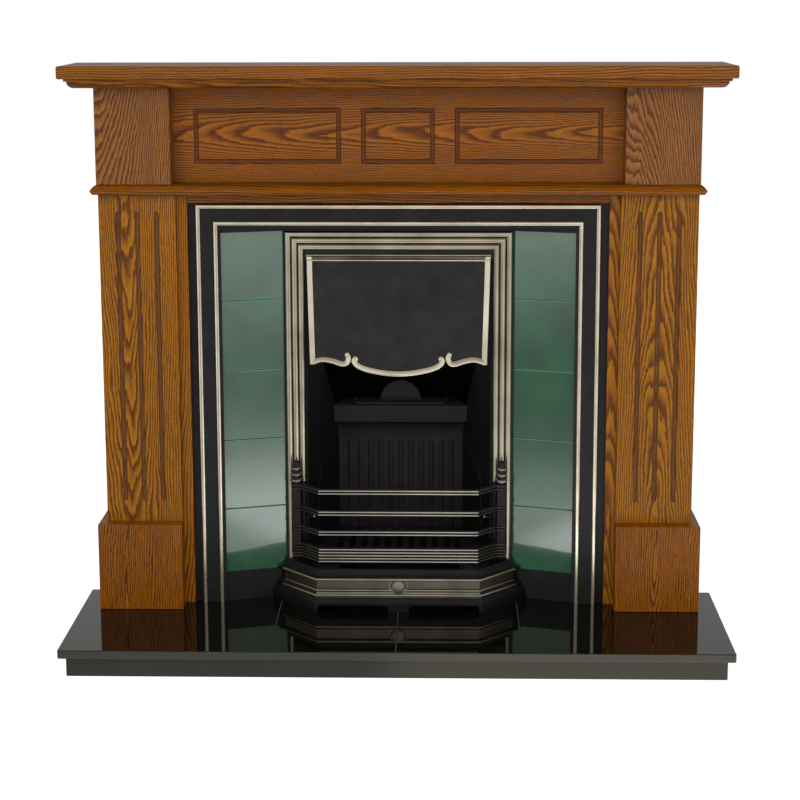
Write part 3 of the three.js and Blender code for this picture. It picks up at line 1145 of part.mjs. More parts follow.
function ashpanCover() {
  // A bead across the face: how far out its foot is, the height of its top edge and its size.
  const bead = (out, topZ, size) => reeds(1, -topZ, size, 0, out, size * 0.7, 5).map((p) => v2(p.y, -p.x));
  const foot = COVER_FOOT_REACH;
  const back = -COVER_THICK;
  const front = [
    v2(0, COVER_TOP_Z - 1),
    ...arc(COVER_COVE, COVER_TOP_Z - 2, COVER_COVE - 1, COVER_COVE + 2, 180, 262, 5),
    ...bead(COVER_COVE, COVER_UPPER_BEAD_Z, COVER_UPPER_BEAD),
    v2(COVER_FASCIA, COVER_FASCIA_TOP_Z),
    v2(COVER_FASCIA, COVER_FASCIA_LOW_Z),
    ...bead(COVER_FASCIA + 1, COVER_LOWER_BEAD_Z, COVER_LOWER_BEAD),
    v2(COVER_COVE, COVER_STEP_Z + 3),
    v2(COVER_COVE + 2, COVER_STEP_Z),
    ...bead(COVER_COVE + 3, COVER_FOOT_BEAD_Z, COVER_FOOT_BEAD),
    v2(foot - 6, COVER_FOOT_Z + 9),
    v2(foot - 2, COVER_FOOT_Z + 5),
    v2(foot, COVER_FOOT_Z),
    v2(foot, 0),
  ];
  const section = [
    ...front,
    v2(foot - COVER_THICK, 0),
    v2(foot - COVER_THICK, COVER_FOOT_Z),
    v2(COVER_FASCIA - COVER_THICK + 1, COVER_STEP_Z),
    v2(back + 3, COVER_UPPER_BEAD_Z - COVER_UPPER_BEAD),
    v2(back, COVER_TOP_Z - COVER_THICK),
    v2(back, COVER_TOP_Z),
    v2(-1, COVER_TOP_Z),
  ];
  const run = mitredRun(section.reverse(), cantedRoute(COVER_HALF, COVER_FACE, COVER_HALF + COVER_ENDS));
  const arches = SIDES.map(([, side]) => {
    const shape = [v2(ARCH_FROM, -1), v2(ARCH_TO, -1)];
    const shoulderZ = ARCH_HEIGHT - ARCH_RADIUS;
    shape.push(...arc(ARCH_TO - ARCH_RADIUS, shoulderZ, ARCH_RADIUS, ARCH_RADIUS, 0, 90, 4));
    shape.push(...arc(ARCH_FROM + ARCH_RADIUS, shoulderZ, ARCH_RADIUS, ARCH_RADIUS, 90, 180, 4));
    const opening = side > 0 ? shape : mirrored(shape);
    return stoodUp(extruded(opening, foot + COVER_THICK)).translate(0, -COVER_FACE - 1, 0);
  });
  const face = COVER_FACE + COVER_FASCIA;
  const dishZ = ROSETTE_RISE - ROSETTE_DISH;
  const rosette = [
    v2(0, 0),
    v2(ROSETTE_RADIUS, 0),
    v2(ROSETTE_RADIUS, ROSETTE_RISE / 2),
    v2(ROSETTE_RADIUS - ROSETTE_RISE / 2, ROSETTE_RISE),
    v2(KNOB_RADIUS + 4, ROSETTE_RISE),
    v2(KNOB_RADIUS + 2, dishZ),
    v2(0, dishZ),
  ];
  const boss = new THREE.LatheGeometry(rosette, 24).rotateX(Math.PI);
  const body = joined(run, boss.translate(0, -face + ROSETTE_RISE / 2, KNOB_Z));
  const far = COVER_HALF + 2 * COVER_ENDS;
  const wholeZ = [-5, COVER_TOP_Z + 5];
  const behind = block([-far, far], [-REED_CREST - 2 * GAP, far], wholeZ);
  const hole = new THREE.CylinderGeometry(STEM_RADIUS + GAP, STEM_RADIUS + GAP, 60, 12);
  const skirts = SIDES.map(([, side]) => {
    const skirt = block([-COVER_FACE, COVER_FACE], [-SLEEVE_LIP - GAP, COVER_FACE], wholeZ);
    skirt.rotateZ(-side * TILE_SPLAY).translate(side * TILE_EDGE_X, -TILE_EDGE_FACE, 0);
    return skirt.translate(-side * COVER_FACE, COVER_FACE * Math.tan(TILE_SPLAY), 0);
  });
  return cutBy(body, behind, hole.translate(0, -face, KNOB_Z), ...arches, ...skirts);
}

function coverKnob() {
  const face = COVER_FACE + COVER_FASCIA + ROSETTE_RISE / 2 - ROSETTE_DISH;
  const dome = arc(0, KNOB_REACH - KNOB_DOME, KNOB_RADIUS, KNOB_DOME, 0, 90, 4).slice(0, -1);
  const stemBack = -COVER_THICK - COVER_FASCIA;
  const profile = [
    v2(0, stemBack),
    v2(STEM_RADIUS, stemBack),
    v2(STEM_RADIUS, GAP),
    v2(STEM_RADIUS + 3, GAP),
    v2(STEM_RADIUS + 2, 4),
    v2(KNOB_RADIUS - 1, KNOB_REACH - KNOB_DOME - 2),
    ...dome,
    v2(0, KNOB_REACH),
  ];
  return new THREE.LatheGeometry(profile, 20).rotateX(Math.PI).translate(0, -face, KNOB_Z);
}

function ashPan() {
  const half = PAN_HALF;
  const outer = block([-half, half], [-PAN_FRONT, PAN_BACK_Y], [0, PAN_HEIGHT]);
  const inner = block(
    [-half + PAN_SHEET, half - PAN_SHEET],
    [-PAN_FRONT + PAN_SHEET, PAN_BACK_Y - PAN_SHEET],
    [PAN_SHEET, PAN_HEIGHT + 1],
  );
  const lipY = -PAN_FRONT - PAN_LIP;
  const rim = block([-half, half], [lipY, -PAN_FRONT + 1], [PAN_HEIGHT - PAN_SHEET, PAN_HEIGHT]);
  const lip = block([-half, half], [lipY, lipY + PAN_SHEET], [PAN_HEIGHT - 2 * PAN_LIP, PAN_HEIGHT]);
  return joined(cutBy(outer, inner), rim, lip);
}

function addInsert() {
  const insert = new THREE.Group();
  insert.position.z = SEAT;
  fireplace.add(insert);
  piece("front_frame", frontFrame(), IRON, insert);
  addTilePanels(insert);
  piece("inner_frame", innerFrame(), POLISHED_IRON, insert);
  piece("hood", hood(), IRON, insert);
  for (const [name, side] of SIDES) {
    piece("cheek_" + name, cheek(side), IRON, insert);
    piece("cheek_bolt_" + name, cheekBolt(side), POLISHED_IRON, insert);
    const top = piece("finial_" + name, finial(), POLISHED_IRON, insert);
    top.position.set(side * POST_X, -FINIAL_FACE, POST_TOP_Z);
  }
  piece("fireback", fireback(), IRON, insert);
  piece("fire_ledge", fireLedge(), IRON, insert);
  piece("damper_flap", damperFlap(), IRON, insert);
  piece("bottom_grate", bottomGrate(), IRON, insert);
  piece("front_bars", frontBars(), IRON, insert);
  piece("ashpan_cover", ashpanCover(), IRON, insert);
  piece("cover_knob", coverKnob(), POLISHED_IRON, insert);
  piece("ash_pan", ashPan(), SHEET_STEEL, insert);
}

addHearth();
addSurround();
addInsert();

export default fireplace;
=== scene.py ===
"""Looks of a fireplace: an oak surround, a cast iron tiled insert and a granite hearth.

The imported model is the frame. Boards, castings, slabs and tiles are eased copies of its nodes, so
that their edges catch the light, and the polished reeds, the hood and the turned pieces are modelled
here over or in place of their nodes. Sizes are in millimetres unless a comment says otherwise.
"""

from __future__ import annotations

import logging
import math
from collections.abc import Callable, Iterable, Sequence
from dataclasses import dataclass, replace
from enum import Enum
from functools import partial
from typing import Any

import bmesh
import bpy
from mathutils import Matrix, Vector

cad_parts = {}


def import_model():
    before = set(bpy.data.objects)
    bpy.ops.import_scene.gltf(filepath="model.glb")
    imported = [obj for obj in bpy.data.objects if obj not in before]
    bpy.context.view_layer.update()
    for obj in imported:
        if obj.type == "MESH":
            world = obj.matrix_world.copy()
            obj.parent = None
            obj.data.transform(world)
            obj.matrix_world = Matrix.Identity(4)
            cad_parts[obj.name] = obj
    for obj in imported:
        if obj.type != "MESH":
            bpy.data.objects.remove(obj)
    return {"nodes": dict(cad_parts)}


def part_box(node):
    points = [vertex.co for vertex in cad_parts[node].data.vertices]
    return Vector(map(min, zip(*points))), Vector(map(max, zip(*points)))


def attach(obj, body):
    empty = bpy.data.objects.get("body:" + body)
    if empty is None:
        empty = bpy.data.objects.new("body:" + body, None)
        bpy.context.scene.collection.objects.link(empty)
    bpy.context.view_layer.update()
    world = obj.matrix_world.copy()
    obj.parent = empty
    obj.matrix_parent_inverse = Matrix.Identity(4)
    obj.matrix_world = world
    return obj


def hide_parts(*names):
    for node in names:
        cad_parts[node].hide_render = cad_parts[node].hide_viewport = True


LOG = logging.getLogger("fireplace")
PHOTO_PIXELS = 800
SENSOR_WIDTH = 36.0
MM = 0.001  # metres in a millimetre
SIDES = {"left": -1, "right": 1}
UP = Vector((0, 0, 1))
TO_ROOM = Vector((0, -1, 0))
NODE_MERGE = 0.02  # corners of a node that are nearer than this are one
POLE_MERGE = 0.01
LEVEL_UNDER = 0.6  # degrees between two faces that are one
SHARP_OVER = 41.0  # degrees over which an edge is eased
WHITE = (1.0, 1.0, 1.0, 1.0)
SHARE, LOW, HIGH, MIXED = 0, 6, 7, 2  # sockets of a Mix node for colours: three inputs and its output

Adder = Callable[..., Any]  # add_node for one tree
Socket = bpy.types.NodeSocket
Nodes = dict[str, bpy.types.Object]
Profile = list[tuple[float, float]]
Points = tuple[tuple[float, float], ...]
Ring = tuple[list[bmesh.types.BMVert], list[bmesh.types.BMEdge]]


class Grain(Enum):
    """Which way the grain of a board runs."""

    UPRIGHT = "upright"
    ACROSS = "across"


class Slot(Enum):
    """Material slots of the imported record."""

    OAK = "oak"
    IRON = "iron"
    POLISHED = "polished_iron"
    TILE = "glazed_tile"
    GRANITE = "granite"
    RISER = "riser_granite"
    MORTAR = "mortar"
    SHEET = "sheet_steel"


class Body(Enum):
    """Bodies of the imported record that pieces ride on."""

    FIXED = "fireplace"
    HOOD = "hood"
    DAMPER = "damper"
    BARS = "bars"
    GRATE = "grate"
    COVER = "cover"
    PAN = "pan"


# ------------------------------------------------------------------ colour and node helpers


def colour(code: str) -> tuple[float, float, float, float]:
    """Turns an sRGB hex value into a linear colour.

    Args:
        code: Six hex digits, with or without a leading hash.

    Returns:
        Linear red, green and blue, and an alpha of 1.
    """
    digits = code.lstrip("#")
    linear = []
    for start in (0, 2, 4):
        value = int(digits[start : start + 2], 16) / 255
        linear.append(value / 12.92 if value <= 0.04045 else ((value + 0.055) / 1.055) ** 2.4)
    return linear[0], linear[1], linear[2], 1.0


class Kind(Enum):
    """Kinds of node that the finishes and the studio are made of."""

    BACKGROUND = "ShaderNodeBackground"
    BUMP = "ShaderNodeBump"
    COMBINE = "ShaderNodeCombineXYZ"
    COORDINATES = "ShaderNodeTexCoord"
    EMISSION = "ShaderNodeEmission"
    HUE = "ShaderNodeHueSaturation"
    LIGHT_PATH = "ShaderNodeLightPath"
    MAPPING = "ShaderNodeMapping"
    MATERIAL_OUTPUT = "ShaderNodeOutputMaterial"
    MATH = "ShaderNodeMath"
    MIX = "ShaderNodeMix"
    MIX_SHADER = "ShaderNodeMixShader"
    NOISE = "ShaderNodeTexNoise"
    RAMP = "ShaderNodeValToRGB"
    SEPARATE = "ShaderNodeSeparateXYZ"
    SURFACE = "ShaderNodeBsdfPrincipled"
    VECTOR_MATH = "ShaderNodeVectorMath"
    VORONOI = "ShaderNodeTexVoronoi"
    WORLD_OUTPUT = "ShaderNodeOutputWorld"


def add_node(
    tree: bpy.types.NodeTree,
    kind: Kind,
    inputs: dict[int | str, Any] | Sequence[Any] = (),
    stops: Sequence[tuple[float, float]] = (),
    **settings: Any,
) -> bpy.types.NodeOutputs:
    """Adds a node, sets its properties and any grey stops, and sets or links its inputs.

    Args:
        tree: Node tree that takes the node.
        kind: Kind of node.
        inputs: A value, or the socket that feeds it, for each socket by name or number, or in order.
        stops: Position and grey value of each stop of a ramp, in order.
        **settings: Properties of the node.

    Returns:
        The node's outputs.
    """
    node = tree.nodes.new(kind.value)
    for name, value in settings.items():
        setattr(node, name, value)
    if stops:
        elements = node.color_ramp.elements
        while len(elements) < len(stops):
            elements.new(0.5)
        for element, (position, grey) in zip(elements, stops):
            element.position = position
            element.color = (grey, grey, grey, 1.0)
    for key, value in inputs.items() if isinstance(inputs, dict) else enumerate(inputs):
        if isinstance(value, Socket):
            tree.links.new(value, node.inputs[key])
        else:
            node.inputs[key].default_value = value
    return node.outputs


def new_material(name: str) -> tuple[bpy.types.Material, Adder]:
    """Makes an empty node material.

    Args:
        name: Name of the material.

    Returns:
        The material, and add_node for its tree.
    """
    material = bpy.data.materials.new(name)
    material.use_nodes = True
    material.node_tree.nodes.clear()
    return material, partial(add_node, material.node_tree)


def in_millimetres(
    add: Adder, centre: Sequence[float] = (0, 0, 0), turn: Sequence[float] = (0, 0, 0)
) -> Socket:
    """Object coordinates in millimetres, turned and centred on a point in millimetres."""
    place = {"Vector": add(Kind.COORDINATES)["Object"], "Location": centre, "Rotation": turn}
    return add(Kind.MAPPING, {**place, "Scale": (1 / MM,) * 3})["Vector"]


def sized(
    add: Adder, kind: Kind, place: Socket, size: Sequence[float], **inputs: float
) -> bpy.types.NodeOutputs:
    """Adds a texture whose features have a real size.

    Args:
        add: Adds a node to the material.
        kind: Kind of texture.
        place: Coordinates in millimetres.
        size: Size of a feature along each axis, in millimetres.
        **inputs: Other inputs of the texture, by name.

    Returns:
        The texture's outputs.
    """
    steps = add(Kind.VECTOR_MATH, (place, tuple(1 / length for length in size)), operation="MULTIPLY")[0]
    return add(kind, {"Vector": steps, "Scale": 1.0, **inputs})


# ------------------------------------------------------------------ finishes


@dataclass(frozen=True)
class LacqueredOak:
    """Flat sawn oak, stained mid brown under satin lacquer.

    The growth rings show as dark lines of open pores that run into tall arches, with fine fibre
    between them and a soft sheen over all.
    """

    light: str = "#a66f28"
    body: str = "#7a4815"
    dark: str = "#41240b"
    ring: float = 4.4  # between two growth rings
    wander: float = 13.0  # slow bends of the rings
    ripple: float = 2.6
    jag: float = 1.3
    wander_size: tuple[float, ...] = (48, 48, 210)
    ripple_size: tuple[float, ...] = (11, 11, 60)
    jag_size: tuple[float, ...] = (3.5, 3.5, 16)
    fibre_size: tuple[float, ...] = (1.5, 1.5, 45)
    pore_size: tuple[float, ...] = (0.9, 0.9, 9)  # coarser than the real 0.3, so that it shows
    cloud_size: tuple[float, ...] = (60, 60, 300)
    pore_depth: float = 0.25
    pore_stain: tuple[float, float] = (0.55, 0.2)  # how much darker pores are on the rings, and anywhere
    cloud_light: tuple[float, float] = (0.4, 0.8)  # brightness that comes and goes, and that stays
    roughness: float = 0.45
    index: float = 1.5
    gloss: float = 0.28
    plank_length: float = 371.0  # along the tree, from one plank to the next
    plank_spread: float = 16.0  # across it
    plank_turn: float = 2.3  # radians of the sine that spreads them

    def material(self, name: str, board: Board, middle: Vector, plank: int) -> bpy.types.Material:
        """Makes the oak of one board, cut from its own place in the tree.

        Args:
            name: Name of the material.
            board: The board, for its grain and tone.
            middle: Middle of the board, in metres.
            plank: Number of the plank, which sets the place in the tree.

        Returns:
            The material.
        """
        material, add = new_material(name)
        turn = Vector((0, -math.pi / 2 if board.grain is Grain.ACROSS else 0, 0))
        across = self.plank_spread * math.sin(plank * self.plank_turn) + board.aside
        tree_middle = Vector((across, 0, self.plank_length * plank))
        wood = in_millimetres(add, tree_middle - Matrix.Rotation(turn.y, 3, "Y") @ (middle / MM), turn)
        rings = self.rings(add, wood, board, plank)
        pores = self.pores(add, wood, rings)
        cloud = sized(add, Kind.NOISE, wood, self.cloud_size)["Fac"]
        light = [board.tone * part for part in self.cloud_light]
        toned = {
            "Hue": board.hue,
            "Saturation": board.saturation,
            "Value": add(Kind.MATH, (cloud, *light), operation="MULTIPLY_ADD")[0],
            "Color": self.stain(add, wood, board, rings, pores),
        }
        height = add(Kind.MATH, (1.0, pores), operation="SUBTRACT")[0]
        relief = {"Height": height, "Distance": self.pore_depth * MM, "Strength": 0.3}
        looks = {
            "Base Color": add(Kind.HUE, toned)["Color"],
            "Roughness": self.roughness,
            "IOR": self.index,
            "Specular IOR Level": self.gloss,
            "Normal": add(Kind.BUMP, relief)["Normal"],
        }
        add(Kind.MATERIAL_OUTPUT, {"Surface": add(Kind.SURFACE, looks)["BSDF"]})
        return material

    def pores(self, add: Adder, wood: Socket, rings: Socket) -> Socket:
        """Scatters open pores, most of them on the growth rings.

        Args:
            add: Adds a node to the material.
            wood: Coordinates in the tree, in millimetres.
            rings: How near a ring's dark line is, from 0 to 1.

        Returns:
            How open the pores are, from 0 to 1.
        """
        pores = sized(add, Kind.NOISE, wood, self.pore_size)["Fac"]
        pores = add(Kind.RAMP, (pores,), [(0.5, 0), (0.62, 1)])[0]
        share = add(Kind.MATH, (rings, *self.pore_stain), operation="MULTIPLY_ADD")[0]
        return add(Kind.MATH, (pores, share), operation="MULTIPLY")[0]

    def stain(self, add: Adder, wood: Socket, board: Board, rings: Socket, pores: Socket) -> Socket:
        """Stains the wood: light between the rings, darker on them and darkest in the pores.

        Args:
            add: Adds a node to the material.
            wood: Coordinates in the tree, in millimetres.
            board: The board, for how dark its rings are.
            rings: How near a ring's dark line is, from 0 to 1.
            pores: How open the pores are, from 0 to 1.

        Returns:
            The colour.
        """
        fibre = sized(add, Kind.NOISE, wood, self.fibre_size, Detail=3.0)["Fac"]
        lines = add(Kind.MIX, {SHARE: 0.5, LOW: rings, HIGH: fibre}, data_type="RGBA")[MIXED]
        body = add(Kind.RAMP, (lines,), [(0.2, 0), (0.55, 1)])[0]
        dark = add(Kind.RAMP, (lines,), [(0.47, 0), (0.77, board.figure)])[0]
        stain = colour(self.light)
        for share, tone in ((body, self.body), (dark, self.dark), (pores, self.dark)):
            tones = {SHARE: share, LOW: stain, HIGH: colour(tone)}
            stain = add(Kind.MIX, tones, data_type="RGBA")[MIXED]
        return stain

    def rings(self, add: Adder, wood: Socket, board: Board, plank: int) -> Socket:
        """Draws the growth rings round the middle of the tree.

        Args:
            add: Adds a node to the material.
            wood: Coordinates in the tree, in millimetres.
            board: The board, for how its rings run.
            plank: Number of the plank.

        Returns:
            How near a ring's dark line is, from 0 to 1.
        """
        place = add(Kind.SEPARATE, (wood,))
        slow = sized(add, Kind.NOISE, wood, self.wander_size, Detail=1.0)["Color"]
        bends = add(Kind.SEPARATE, (slow,))
        wander = 2 * self.wander * board.unrest
        side = add(Kind.MATH, (bends["X"], wander, place["X"]), operation="MULTIPLY_ADD")[0]
        length = add(Kind.MATH, (place["Z"], self.plank_length * plank), operation="SUBTRACT")[0]
        lean = board.lean * (-1) ** plank
        depth = add(Kind.MATH, (length, lean, place["Y"]), operation="MULTIPLY_ADD")[0]
        depth = add(Kind.MATH, (bends["Y"], wander, depth), operation="MULTIPLY_ADD")[0]
        depth = add(Kind.MATH, (depth, board.pith), operation="ADD")[0]
        flat = add(Kind.COMBINE, (side, depth))[0]
        radius = add(Kind.VECTOR_MATH, (flat,), operation="LENGTH")["Value"]
        for size, detail, reach in ((self.ripple_size, 2.0, self.ripple), (self.jag_size, 1.0, self.jag)):
            bend = sized(add, Kind.NOISE, wood, size, Detail=detail)["Fac"]
            radius = add(Kind.MATH, (bend, 2 * reach * board.unrest, radius), operation="MULTIPLY_ADD")[0]
        count = add(Kind.MATH, (radius, self.ring * board.growth), operation="DIVIDE")[0]
        phase = add(Kind.MATH, (count,), operation="FRACT")[0]
        # A ring starts with wide open pores, which look dark, and pales towards the next one.
        return add(Kind.RAMP, (phase,), [(0, 0.5), (0.14, 1), (0.4, 0.5), (0.8, 0.08), (1, 0.1)])[0]


@dataclass(frozen=True)
class CastFinish:
    """What the finishes of cast iron share.

    Two tones lie in soft clouds, the sheen goes with them, and a fine relief breaks the highlights.
    """

    tone: str
    worn: str
    grit: float
    grit_detail: float
    grit_depth: float
    grit_strength: float
    cloud: float
    cloud_detail: float
    cloud_roughness: float
    roughness: float
    unevenness: float  # of the roughness
    metallic: float
    gloss: float

    def material(self, name: str) -> bpy.types.Material:
        """Makes the material.

        Args:
            name: Name of the material.

        Returns:
            The material.
        """
        material, add = new_material(name)
        place = in_millimetres(add)
        grit = sized(add, Kind.NOISE, place, (self.grit,) * 3, Detail=self.grit_detail)["Fac"]
        detail = {"Detail": self.cloud_detail, "Roughness": self.cloud_roughness}
        cloud = sized(add, Kind.NOISE, place, (self.cloud,) * 3, **detail)["Fac"]
        share = add(Kind.RAMP, (cloud,), [(0.35, 0), (0.7, 1)])[0]
        tones = {SHARE: share, LOW: colour(self.tone), HIGH: colour(self.worn)}
        sheen = (cloud, self.unevenness, self.roughness - self.unevenness / 2)
        relief = {"Height": grit, "Distance": self.grit_depth * MM, "Strength": self.grit_strength}
        looks = {
            "Base Color": add(Kind.MIX, tones, data_type="RGBA")[MIXED],
            "Metallic": self.metallic,
            "Roughness": add(Kind.MATH, sheen, operation="MULTIPLY_ADD")[0],
            "Specular IOR Level": self.gloss,
            "Normal": add(Kind.BUMP, relief)["Normal"],
        }
        add(Kind.MATERIAL_OUTPUT, {"Surface": add(Kind.SURFACE, looks)["BSDF"]})
        return material


@dataclass(frozen=True)
class BlackedIron(CastFinish):
    """Cast iron under graphite black: nearly black, satin, with the fine bite of the sand mould."""

    tone: str = "#121213"
    worn: str = "#1c1c1d"
    grit: float = 1.1
    grit_detail: float = 3.0
    grit_depth: float = 0.12
    grit_strength: float = 0.25
    cloud: float = 45.0
    cloud_detail: float = 3.0
    cloud_roughness: float = 0.6
    roughness: float = 0.42
    unevenness: float = 0.16
    metallic: float = 0.0
    gloss: float = 0.28


@dataclass(frozen=True)
class PolishedIron(CastFinish):
    """Cast iron ground and polished bright: a warm grey metal with faint scratches along it."""

    tone: str = "#cbc2ab"
    worn: str = "#b0a690"
    grit: float = 0.9
    grit_detail: float = 2.0
    grit_depth: float = 0.02
    grit_strength: float = 0.1
    cloud: float = 70.0
    cloud_detail: float = 2.0
    cloud_roughness: float = 0.5
    roughness: float = 0.3
    unevenness: float = 0.12
    metallic: float = 1.0
    gloss: float = 0.5


@dataclass(frozen=True)
class GreenGlaze:
    """Earthenware under a thick green glaze: glassy, deeper where it pools, and gently wavy."""

    thin: str = "#1a5637"
    deep: str = "#124229"
    cloud_size: tuple[float, ...] = (60, 60, 90)
    wave_size: tuple[float, ...] = (90, 90, 54)
    wave_depth: float = 0.35
    index: float = 1.8  # a lead glaze bends light more than glass
    roughness: float = 0.12
    coat_roughness: float = 0.02

    def material(self, name: str, shift: float) -> bpy.types.Material:
        """Makes the glaze of one tile.

        Args:
            name: Name of the material.
            shift: Moves the clouds and waves, in millimetres, so that no two tiles are alike.

        Returns:
            The material.
        """
        material, add = new_material(name)
        place = in_millimetres(add, (shift, shift, 0))
        cloud = sized(add, Kind.NOISE, place, self.cloud_size)["Fac"]
        share = add(Kind.RAMP, (cloud,), [(0.3, 0), (0.7, 1)])[0]
        tones = {SHARE: share, LOW: colour(self.deep), HIGH: colour(self.thin)}
        waves = sized(add, Kind.NOISE, place, self.wave_size, Detail=1.0)["Fac"]
        relief = {"Height": waves, "Distance": self.wave_depth * MM, "Strength": 0.5}
        wavy = add(Kind.BUMP, relief)["Normal"]
        tint = add(Kind.MIX, tones, data_type="RGBA")[MIXED]
        looks = {
            "Base Color": tint,
            "Roughness": self.roughness,
            "IOR": self.index,
            "Normal": wavy,
            "Coat Weight": 1.0,
            "Coat Roughness": self.coat_roughness,
            "Coat IOR": self.index,
            "Coat Normal": wavy,
        }
        add(Kind.MATERIAL_OUTPUT, {"Surface": add(Kind.SURFACE, looks)["BSDF"]})
        return material


@dataclass(frozen=True)
class BlackGranite:
    """Black granite: polished it is a dark mirror with faint crystals, honed it is a soft grey."""

    ground: str = "#070606"
    crystal: str = "#1b1a17"
    crystal_size: float = 1.6
    roughness: float = 0.045
    mirror_tint: str = "#fbf5de"

    def material(self, name: str) -> bpy.types.Material:
        """Makes the material.

        Args:
            name: Name of the material.

        Returns:
            The material.
        """
        material, add = new_material(name)
        crystals = sized(add, Kind.VORONOI, in_millimetres(add), (self.crystal_size,) * 3)["Color"]
        share = add(Kind.RAMP, (crystals,), [(0.55, 0), (0.95, 1)])[0]
        tones = {SHARE: share, LOW: colour(self.ground), HIGH: colour(self.crystal)}
        looks = {
            "Base Color": add(Kind.MIX, tones, data_type="RGBA")[MIXED],
            "Roughness": self.roughness,
            "Specular Tint": colour(self.mirror_tint),
        }
        add(Kind.MATERIAL_OUTPUT, {"Surface": add(Kind.SURFACE, looks)["BSDF"]})
        return material


@dataclass(frozen=True)
class PlainFinish:
    """A matt or satin finish with a slight grain, for sheet steel and mortar."""

    tone: str
    dusty: str
    grain: float
    roughness: float
    depth: float = 0.3

    def material(self, name: str) -> bpy.types.Material:
        """Makes the material.

        Args:
            name: Name of the material.

        Returns:
            The material.
        """
        material, add = new_material(name)
        speckle = sized(add, Kind.NOISE, in_millimetres(add), (self.grain,) * 3, Detail=4.0)["Fac"]
        tones = {SHARE: speckle, LOW: colour(self.tone), HIGH: colour(self.dusty)}
        relief = {"Height": speckle, "Distance": self.depth * MM, "Strength": 0.3}
        looks = {
            "Base Color": add(Kind.MIX, tones, data_type="RGBA")[MIXED],
            "Roughness": self.roughness,
            "Normal": add(Kind.BUMP, relief)["Normal"],
        }
        add(Kind.MATERIAL_OUTPUT, {"Surface": add(Kind.SURFACE, looks)["BSDF"]})
        return material


OAK = LacqueredOak()
# Stain gathers in the cuts, and painted shade darkens them further, so that they look darker and greyer,
# without sheen.
STAINED_SHADED_GROOVE_OAK = LacqueredOak(light="#704a2e", body="#603e27", dark="#46301f", roughness=0.6)
IRON = BlackedIron()
# Heat has dried the black of the firebox, which looks coarser, browner and duller.
FIREBOX_IRON = BlackedIron(tone="#151213", worn="#1f1b1c", grit=1.6, roughness=0.55, gloss=0.28)
# The cheeks are nearly black, flat and dull: soot, and painted shade from the hood over them.
SOOTY_SHADED_CHEEK_IRON = BlackedIron(tone="#0e0d0d", worn="#141313", grit=1.6, roughness=0.6, gloss=0.2)
# Soot and painted shade make the throat's wall near black, so that it reads as a dark hole.
SOOT_AND_SHADE_IRON = BlackedIron(tone="#030303", worn="#050505", grit=1.6, roughness=0.9, gloss=0.05)
# The cover's black is deeper and a little glossier than the frames'.
COVER_IRON = BlackedIron(tone="#0b0a0b", worn="#131213", roughness=0.38)
# The hood's broad skin is painted a soft dark grey, lighter than the other black iron: a painted reflection
# of the room.
HOOD_IRON_PAINTED_SHEEN = BlackedIron(tone="#18181a", worn="#242422")
POLISHED = PolishedIron()
# The beads and the hood's border are buffed brightest, and look pale and creamy.
BORDER = PolishedIron(tone="#efe6ce", worn="#d5cab0", roughness=0.26)
# Smoke has dimmed the finials, but their highlights stay sharp.
SMOKED = PolishedIron(tone="#a8a195", worn="#7d776c", roughness=0.22)
# The knob and its ring are only brushed: pale, with no mirror in them.
SATIN = PolishedIron(tone="#bcb6a8", worn="#9f998c", roughness=0.6)
BARS_FINISH = PolishedIron(tone="#d6d0c4", worn="#bab4a8")
# Painted shade makes the bars' canted ends a dim brown grey.
SHADED = PolishedIron(tone="#5d584f", worn="#47433b", roughness=0.36)
# The hollow of the hood's head and the cover's fascia are ground but not buffed, and painted shade makes them
# darker than the beads.
DULLED_AND_SHADED = PolishedIron(tone="#8d8677", worn="#787162", roughness=0.36)
GLAZE = GreenGlaze()
# A painted highlight: the upward-facing edges of each tile are painted a bright green glint.
GLINT_GLAZE = GreenGlaze(thin="#3f9d68", deep="#2f8152")
POLISHED_GRANITE = BlackGranite()
# Sawn and honed, the edges and risers scatter the light and look grey.
HONED_GRANITE = BlackGranite(ground="#2a2a27", crystal="#3d3d39", crystal_size=1.2, roughness=0.4)
RISER_GRANITE = BlackGranite(ground="#181816", crystal="#252522", crystal_size=1.2, roughness=0.45)
# Black painted sheet steel, faintly speckled with ash, and matt grey mortar.
SHEET_STEEL = PlainFinish(tone="#161616", dusty="#2a2928", grain=6.0, roughness=0.55)
MORTAR = PlainFinish(tone="#4b4943", dusty="#625f58", grain=3.0, roughness=0.95)


# ------------------------------------------------------------------ mesh helpers


def piece_from(
    bm: bmesh.types.BMesh, name: str, materials: Sequence[bpy.types.Material], smooth_under: float = 40.0
) -> bpy.types.Object:
    """Makes an object from a bmesh, with smooth faces and sharp corners.

    Args:
        bm: The mesh, which is freed.
        name: Name of the piece.
        materials: Its materials, in the order of the faces' indices.
        smooth_under: Corners of fewer degrees than this are shaded smooth.

    Returns:
        The object, in the scene.
    """
    for face in bm.faces:
        face.smooth = True
    for edge in bm.edges:
        edge.smooth = not (edge.is_manifold and edge.calc_face_angle() > math.radians(smooth_under))
    mesh = bpy.data.meshes.new(name)
    bm.to_mesh(mesh)
    bm.free()
    for material in materials:
        mesh.materials.append(material)
    thing = bpy.data.objects.new(name, mesh)
    bpy.context.scene.collection.objects.link(thing)
    return thing


def flatten_faces(thing: bpy.types.Object) -> bpy.types.Object:
    """Keeps the large faces of an eased piece flat in the light.

    Args:
        thing: The piece.

    Returns:
        The same piece.
    """
    modifier = thing.modifiers.new("even_light", "WEIGHTED_NORMAL")
    modifier.keep_sharp = True
    return thing


def put_on(thing: bpy.types.Object, body: Body, replaced: Sequence[str] = ()) -> None:
    """Rides a piece on a body and the nodes that it stands for, and logs it.

    Args:
        thing: The piece.
        body: Body that it rides on.
        replaced: Nodes that it stands for.
    """
    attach(thing, body.value)
    if replaced:
        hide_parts(*replaced)
    LOG.info("%s rides on %s and stands for %s", thing.name, body.value, list(replaced) or "no node")


